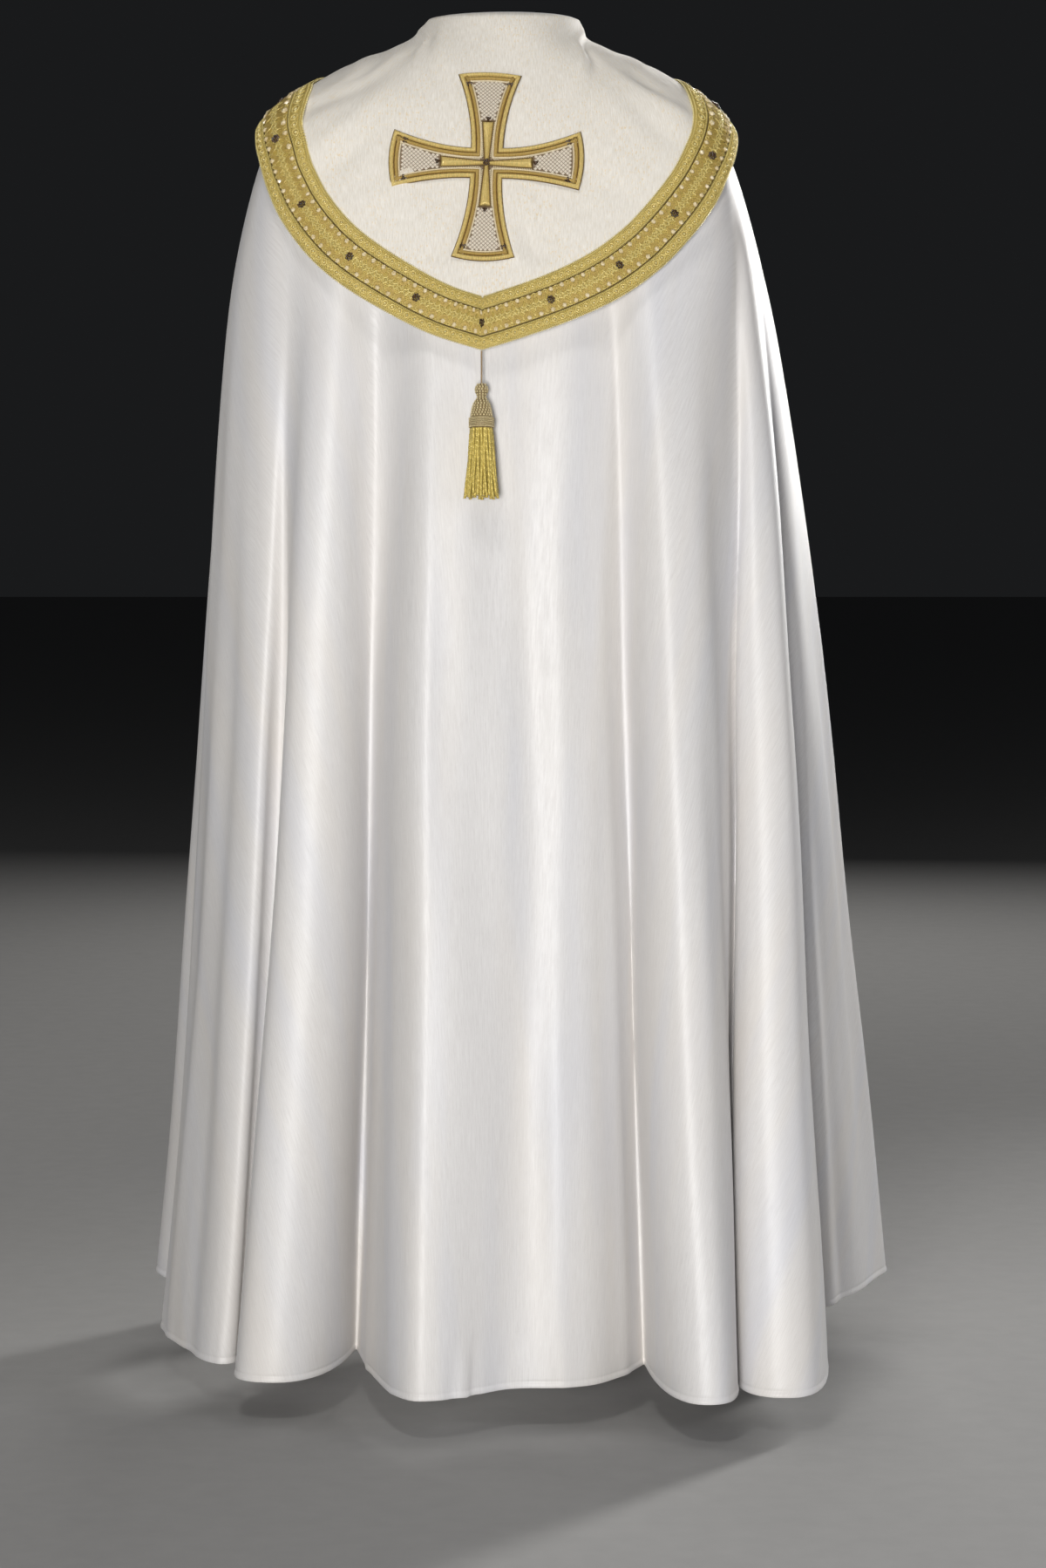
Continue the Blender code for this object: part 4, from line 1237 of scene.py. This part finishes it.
def innerCrossPieces():
    arm, root, end = innerCross["arm"], innerCross["rootHalf"], innerCross["endHalf"]

    def shape(grow, rise, edgeRise):
        bm = bmesh.new()
        for quarters in range(4):
            made = bmesh.ops.create_grid(bm, x_segments=8, y_segments=26, size=1.0)["verts"]
            for vert in made:
                side, share = vert.co.x, (vert.co.y + 1) / 2
                half = mix(root, end, share) + grow
                x, y = side * half, mix(0.0, arm + grow, share)
                ends = min(1.0, (1 - share) * arm / innerCross["endEasing"])
                edge = (1 - abs(side) ** innerCross["crown"]) * math.sin(ends * math.pi / 2)
                vert.co = (x, y, base + cross["lift"] + edgeRise + (rise - edgeRise) * edge)
            rotated = Matrix.Rotation(-quarters * math.pi / 2, 4, "Z")
            bmesh.ops.transform(bm, matrix=rotated, verts=made)
        return bm

    raised = shape(0.0, innerCross["rise"], innerCross["edgeRise"])
    gilt = laidPiece("cross_inner", raised, stitch["bright"], crossBed)
    thicken(gilt, innerCross["cloth"])
    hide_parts("cross_centre")
    under = shape(innerCross["edge"], 0.0016, 0.0004)
    laidPiece("cross_inner_edge", under, stitch["brown"], crossBed)
    cords = []
    for quarters in range(4):
        for side in (-1, 1):
            for along in evenly(0.0075, arm, innerCross["stitchPitch"]):
                half = mix(root, end, along / arm) + innerCross["edge"] + innerCross["cord"] / 2
                x, y = quarterTurned((side * half, along), quarters)
                cords.append(place(x, y, base + 0.0008, 0.6 - quarters * math.pi / 2))
    cordStitches = stamped([(stitchShape(*innerCross["stitch"]), cords)])
    laidPiece("cross_inner_cord", cordStitches, stitch["white"], crossBed)
    beads = []

    # a bead on top of a ring of beads
    def cluster(point, radius, count, z, quarters=0):
        x, y = quarterTurned(point, quarters)
        beads.append(place(x, y, base + z + 0.0008))
        for i in range(count):
            angle = 2 * math.pi * i / count + 0.4
            outX, outY = radius * math.cos(angle), radius * math.sin(angle)
            beads.append(place(x + outX, y + outY, base + z - 0.001))

    cluster((0, 0), *clusters["middle"])
    for quarters in range(4):
        length = cross["armDown"] if quarters % 2 == 0 else cross["armAcross"]
        cluster((0.0, arm + clusterGap), *clusters["armEnd"], quarters)
        for side in (-1, 1):
            corner = (side * (cross["endHalf"] - clusterInset), length - clusterInset)
            cluster(corner, *clusters["corner"], quarters)
    allBeads = stamped([(beadShape(*cross["bead"]), beads)])
    laidPiece("cross_beads", allBeads, gold["bead"], crossBed)


innerCrossPieces()


# The tassel under the hood's tip

tassel = {
    "cordLength": 0.034,
    "cordThick": 0.0018,
    "lean": math.radians(-7),
    "cordGap": 0.0003,
    "hangGap": 0.0008,
    "headSteps": 48,
    "net": (0.0036, 0.0011),
    "netRow": 0.0025,
    "netMesh": 0.0034,
    "netLean": 0.75,
    "netFoot": 0.035,
    "bands": ((0.0368, 1.1), (0.0385, 0.9), (0.0402, 0.9), (0.0419, 0.9), (0.0436, 0.9), (0.0456, 1.2)),
    "bandStitches": 40,
    "bandLean": 0.35,
    "bandStretch": 0.85,
    "strandLength": 0.074,
    "strandThick": 0.0034,
    "strandTop": 0.0466,
    "strandShares": (1.0, 0.97, 0.94),  # of the length
    "strandTwists": 9,
    "strandSwell": 0.1,
    # rings of strands: how many, at what radius, and how far their feet spread across and deep
    "rings": ((24, 0.0104, 0.007, 0.0026), (16, 0.0066, 0.0046, 0.0018)),
}

# the head, turned about its axis: radius, and how far below the thread's foot
tasselHead = (
    (0.0016, 0.0000), (0.0044, 0.0010), (0.0060, 0.0034), (0.0068, 0.0062), (0.0062, 0.0096),
    (0.0046, 0.0122), (0.0042, 0.0150), (0.0062, 0.0176), (0.0084, 0.0212), (0.0100, 0.0262),
    (0.0109, 0.0312), (0.0114, 0.0352), (0.0127, 0.0366), (0.0129, 0.0400), (0.0127, 0.0462),
    (0.0119, 0.0474), (0.0040, 0.0474),
)


def tasselPlace():
    tipDown = float(hoodEdgeDown(np.array(hood["tipTurn"])))
    tip = Vector(hoodPoint(hood["tipTurn"], tipDown, -hood["solidCloth"] / 2))
    hang = tassel["cordLength"] + tassel["hangGap"]
    lean = Matrix.Rotation(tassel["lean"], 4, "X")
    return Matrix.Translation(tip) @ lean @ Matrix.Translation((0, 0, -hang))


def headRadius(below):
    radii, depths = zip(*tasselHead[:-1])
    return float(np.interp(below, depths, radii))


# a rope-like strand of twisted wire, hanging from its top
def strandShape(thick, length, twists, segments=8, steps=40):
    bm = bmesh.new()
    bmesh.ops.create_circle(bm, segments=segments, radius=thick / 2)
    edges, size = bm.edges[:], 1.0
    twist = Matrix.Rotation(twists / steps * 2 * math.pi, 3, "Z")
    for step in range(1, steps + 1):
        drawn = bmesh.ops.extrude_edge_only(bm, edges=edges)
        verts, edges = drawnOut(drawn, bmesh.types.BMVert), drawnOut(drawn, bmesh.types.BMEdge)
        newSize = 1.0 + tassel["strandSwell"] * math.sin(step * 1.9)
        bmesh.ops.translate(bm, vec=(0, 0, -length / steps), verts=verts)
        bmesh.ops.rotate(bm, cent=(0, 0, 0), matrix=twist, verts=verts)
        bmesh.ops.scale(bm, vec=(newSize / size, newSize / size, 1), verts=verts)
        size = newSize
    bmesh.ops.holes_fill(bm, edges=bm.edges[:], sides=segments)
    bmesh.ops.recalc_face_normals(bm, faces=bm.faces)
    return meshFrom(bm, "strand")


def tasselPiece(name, bm, finish, sharpAngle=40):
    bm.transform(tasselPlace())
    piece = newPiece(name, meshFrom(bm, name), threads[finish], sharpAngle)
    return piece


def tasselThread():
    radius, length = tassel["cordThick"] / 2, tassel["cordLength"]
    middle = Matrix.Translation((0, 0, length / 2 + tassel["cordGap"]))
    bm = bmesh.new()
    bmesh.ops.create_cone(
        bm, cap_ends=True, segments=10, radius1=radius, radius2=radius, depth=length, matrix=middle,
    )
    thread = tasselPiece("tassel_thread", bm, "cord")
    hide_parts("tassel_cord")


def tasselHeadTurned():
    bm = bmesh.new()
    verts = [bm.verts.new((radius, 0, -below)) for radius, below in tasselHead]
    for pair in zip(verts, verts[1:]):
        bm.edges.new(pair)
    spinRound(bm, tassel["headSteps"])
    bmesh.ops.holes_fill(bm, edges=bm.edges[:], sides=0)
    bmesh.ops.recalc_face_normals(bm, faces=bm.faces)
    # the head under the net is dark gold, darkened as painted shade for the net's holes
    tasselPiece("tassel_head", bm, "netHoleShade")


# a stitch on the head, lying along its surface
def onHead(angle, below, out, lean):
    at = Matrix.Rotation(angle, 4, "Z") @ Matrix.Translation((headRadius(below) + out, 0, -below))
    return at @ Matrix.Rotation(math.pi / 2, 4, "Z") @ Matrix.Rotation(lean, 4, "Y")


def tasselNet():
    places = []
    row, below = 0, 0.0014
    while below < tassel["netFoot"]:
        count = max(6, round(2 * math.pi * (headRadius(below) + 0.0002) / tassel["netMesh"]))
        for i in range(count):
            for lean in (tassel["netLean"], -tassel["netLean"]):
                places.append(onHead(2 * math.pi * (i + 0.5 * (row % 2)) / count, below, 0.0002, lean))
        below += tassel["netRow"]
        row += 1
    count = tassel["bandStitches"]
    for below, thick in tassel["bands"]:
        squash = Matrix.Diagonal((tassel["bandStretch"], thick, thick, 1))
        for i in range(count):
            places.append(onHead(2 * math.pi * i / count, below, 0.0003, tassel["bandLean"]) @ squash)
    tasselPiece("tassel_net", stamped([(stitchShape(*tassel["net"]), places)]), "straw", 180)


def tasselSkirt():
    bm = bmesh.new()
    shapes = [
        strandShape(tassel["strandThick"], tassel["strandLength"] * share, tassel["strandTwists"] * share)
        for share in tassel["strandShares"]
    ]
    for ring, (count, radius, spreadAcross, spreadDeep) in enumerate(tassel["rings"]):
        for i in range(count):
            angle = 2 * math.pi * (i + 0.5 * ring) / count
            copy = shapes[(i * 2 + ring) % len(shapes)].copy()
            flat = readPoints(copy)
            share = np.clip(-flat[:, 2] / tassel["strandLength"], 0, 1)
            ease = share**1.3
            waver = 0.0006 * np.sin(6.0 * share + 2.4 * i)
            flat[:, 0] += math.cos(angle) * (radius + spreadAcross * ease) + waver
            flat[:, 1] += math.sin(angle) * (radius + spreadDeep * ease)
            flat[:, 2] -= tassel["strandTop"]
            writePoints(copy, flat)
            bm.from_mesh(copy)
            bpy.data.meshes.remove(copy)
    skirt = tasselPiece("tassel_skirt", bm, "bullion", 50)
    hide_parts("tassel")


print("tassel")
threads = {
    "cord": threadFinish("brown thread", (0.2, 0.13, 0.07), (0.42, 0.3, 0.16), 0.6),
    # painted shade: the dark gold under the net, for the shade in its holes
    "netHoleShade": threadFinish("dark gold under the net, painted hole shade", (0.13, 0.085, 0.03), (0.28, 0.2, 0.085), 0.55, 0.1),
    "straw": threadFinish("straw gold net", (0.5, 0.39, 0.17), (0.95, 0.83, 0.52), 0.36, 0.1),
    "bullion": threadFinish("deep gold bullion", (0.34, 0.245, 0.03), (0.98, 0.78, 0.22), 0.26, 0.2, 1800.0,
                            0.0003),
}
tasselThread()
tasselHeadTurned()
tasselNet()
tasselSkirt()


# The plain tab that joins the fronts

tab = {
    "top": 0.15,
    "height": 0.06,
    "lapTurn": 0.08,
    "cloth": 0.0026,
    "lift": 0.0008,
    "steps": 15,
}


def tabCloth():
    out = tab["lift"] + tab["cloth"]
    shares = np.linspace(0, 1, tab["steps"])
    rows = []
    for down in tab["top"] + tab["height"] * shares:
        right = smoothPoint(1.0 - tab["lapTurn"] * (1 - shares), down, out)
        left = smoothPoint(tab["lapTurn"] * shares - 1.0, down, out)
        across = [mix(right[-1], left[0], share) for share in shares[1:-1]]
        rows.append(np.concatenate((right, across, left)))
    rows = np.array(rows)
    cut = np.stack((runLength(rows, 1), -runLength(rows, 0)), axis=-1)
    piece = newPiece("clasp_cloth", gridMesh("clasp_cloth", rows, cut), crepe, 60)
    thicken(piece, tab["cloth"])
    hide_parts("clasp_tab")


print("tab")
tabCloth()


# Floor, light and camera

studio = {
    "floorZ": -1.4985,
    "floorHalf": 30.0,
    "floorTones": ((0.36, 0.356, 0.352), (0.41, 0.406, 0.4)),
    "sky": (0.9, 0.94, 1.0, 1.0),
    "skyStrength": 0.011,
    "camera": (0.0145, -4.1, -0.5),
    "pitch": -4.57,
    "lens": 85,
    "sensor": 36.0,
}

# soft boxes: where each stands and aims, its size, power and tint, and how wide it throws
softBoxes = {
    "key": ((-0.5, -2.0, 2.0), (0, -0.1, -0.2), (0.6, 0.6), 17, (1.0, 0.985, 0.96), 180),
    "low key": ((-0.45, -4.6, -0.75), (0, 0, -1.05), (0.8, 1.2), 146, (1.0, 0.99, 0.975), 180),
    "left side": ((-3.4, -1.6, 0.3), (0, 0, -0.7), (0.7, 2.2), 1.2, (0.82, 0.87, 1.0), 180),
    "right side": ((3.4, -1.8, 0.3), (0, 0, -0.7), (0.7, 2.2), 17, (0.9, 0.92, 1.0), 180),
    "left rim": ((-2.6, 1.8, 0.1), (0, 0, -0.7), (0.5, 2.4), 9, (1.0, 0.98, 0.96), 180),
    "right rim": ((2.4, 2.8, 0.5), (0.35, 0.0, -0.6), (0.4, 1.6), 12, (1.0, 0.99, 0.97), 50),
    "top": ((0.0, 0.3, 2.4), (0, 0.1, -0.5), (1.4, 1.0), 10, (1.0, 0.99, 0.97), 180),
    "front": ((0.5, 4.8, 1.3), (0, 0, -0.6), (1.6, 1.6), 62, (1.0, 0.985, 0.96), 180),
}


def hangSoftBox(name, at, aim, size, power, tint, spread):
    lamp = bpy.data.lights.new(name, "AREA")
    lamp.shape = "RECTANGLE"
    lamp.size, lamp.size_y = size
    lamp.energy = power
    lamp.color = tint
    lamp.spread = math.radians(spread)
    box = newObject(name, lamp)
    box.location = at
    box.rotation_euler = (Vector(aim) - Vector(at)).to_track_quat("-Z", "Y").to_euler()


def layFloor():
    bm = bmesh.new()
    bmesh.ops.create_grid(bm, x_segments=4, y_segments=4, size=studio["floorHalf"])
    mesh = meshFrom(bm, "floor")
    mesh.transform(Matrix.Translation((0, 0, studio["floorZ"])))
    look = Finish("pale floor", 0.9, **{"Specular IOR Level": 0.15})
    look.colour(look.blend(look.noise(look.space(), 30.0, 3.0), *studio["floorTones"]))
    mesh.materials.append(look.material)
    newObject("floor", mesh)


def makeSky():
    world = bpy.data.worlds.new("studio")
    bpy.context.scene.world = world
    world.use_nodes = True
    background = world.node_tree.nodes["Background"]
    background.inputs["Color"].default_value = studio["sky"]
    background.inputs["Strength"].default_value = studio["skyStrength"]
    bpy.context.scene.view_settings.view_transform = "Standard"


def standCamera():
    lens = bpy.data.cameras.new("camera")
    lens.lens = studio["lens"]
    lens.sensor_fit = "VERTICAL"
    lens.sensor_height = studio["sensor"]
    camera = newObject("camera", lens)
    camera.location = studio["camera"]
    camera.rotation_euler = (math.radians(90 + studio["pitch"]), 0, 0)
    bpy.context.scene.camera = camera


print("studio")
layFloor()
makeSky()
for name, settings in softBoxes.items():
    hangSoftBox(name, *settings)
standCamera()
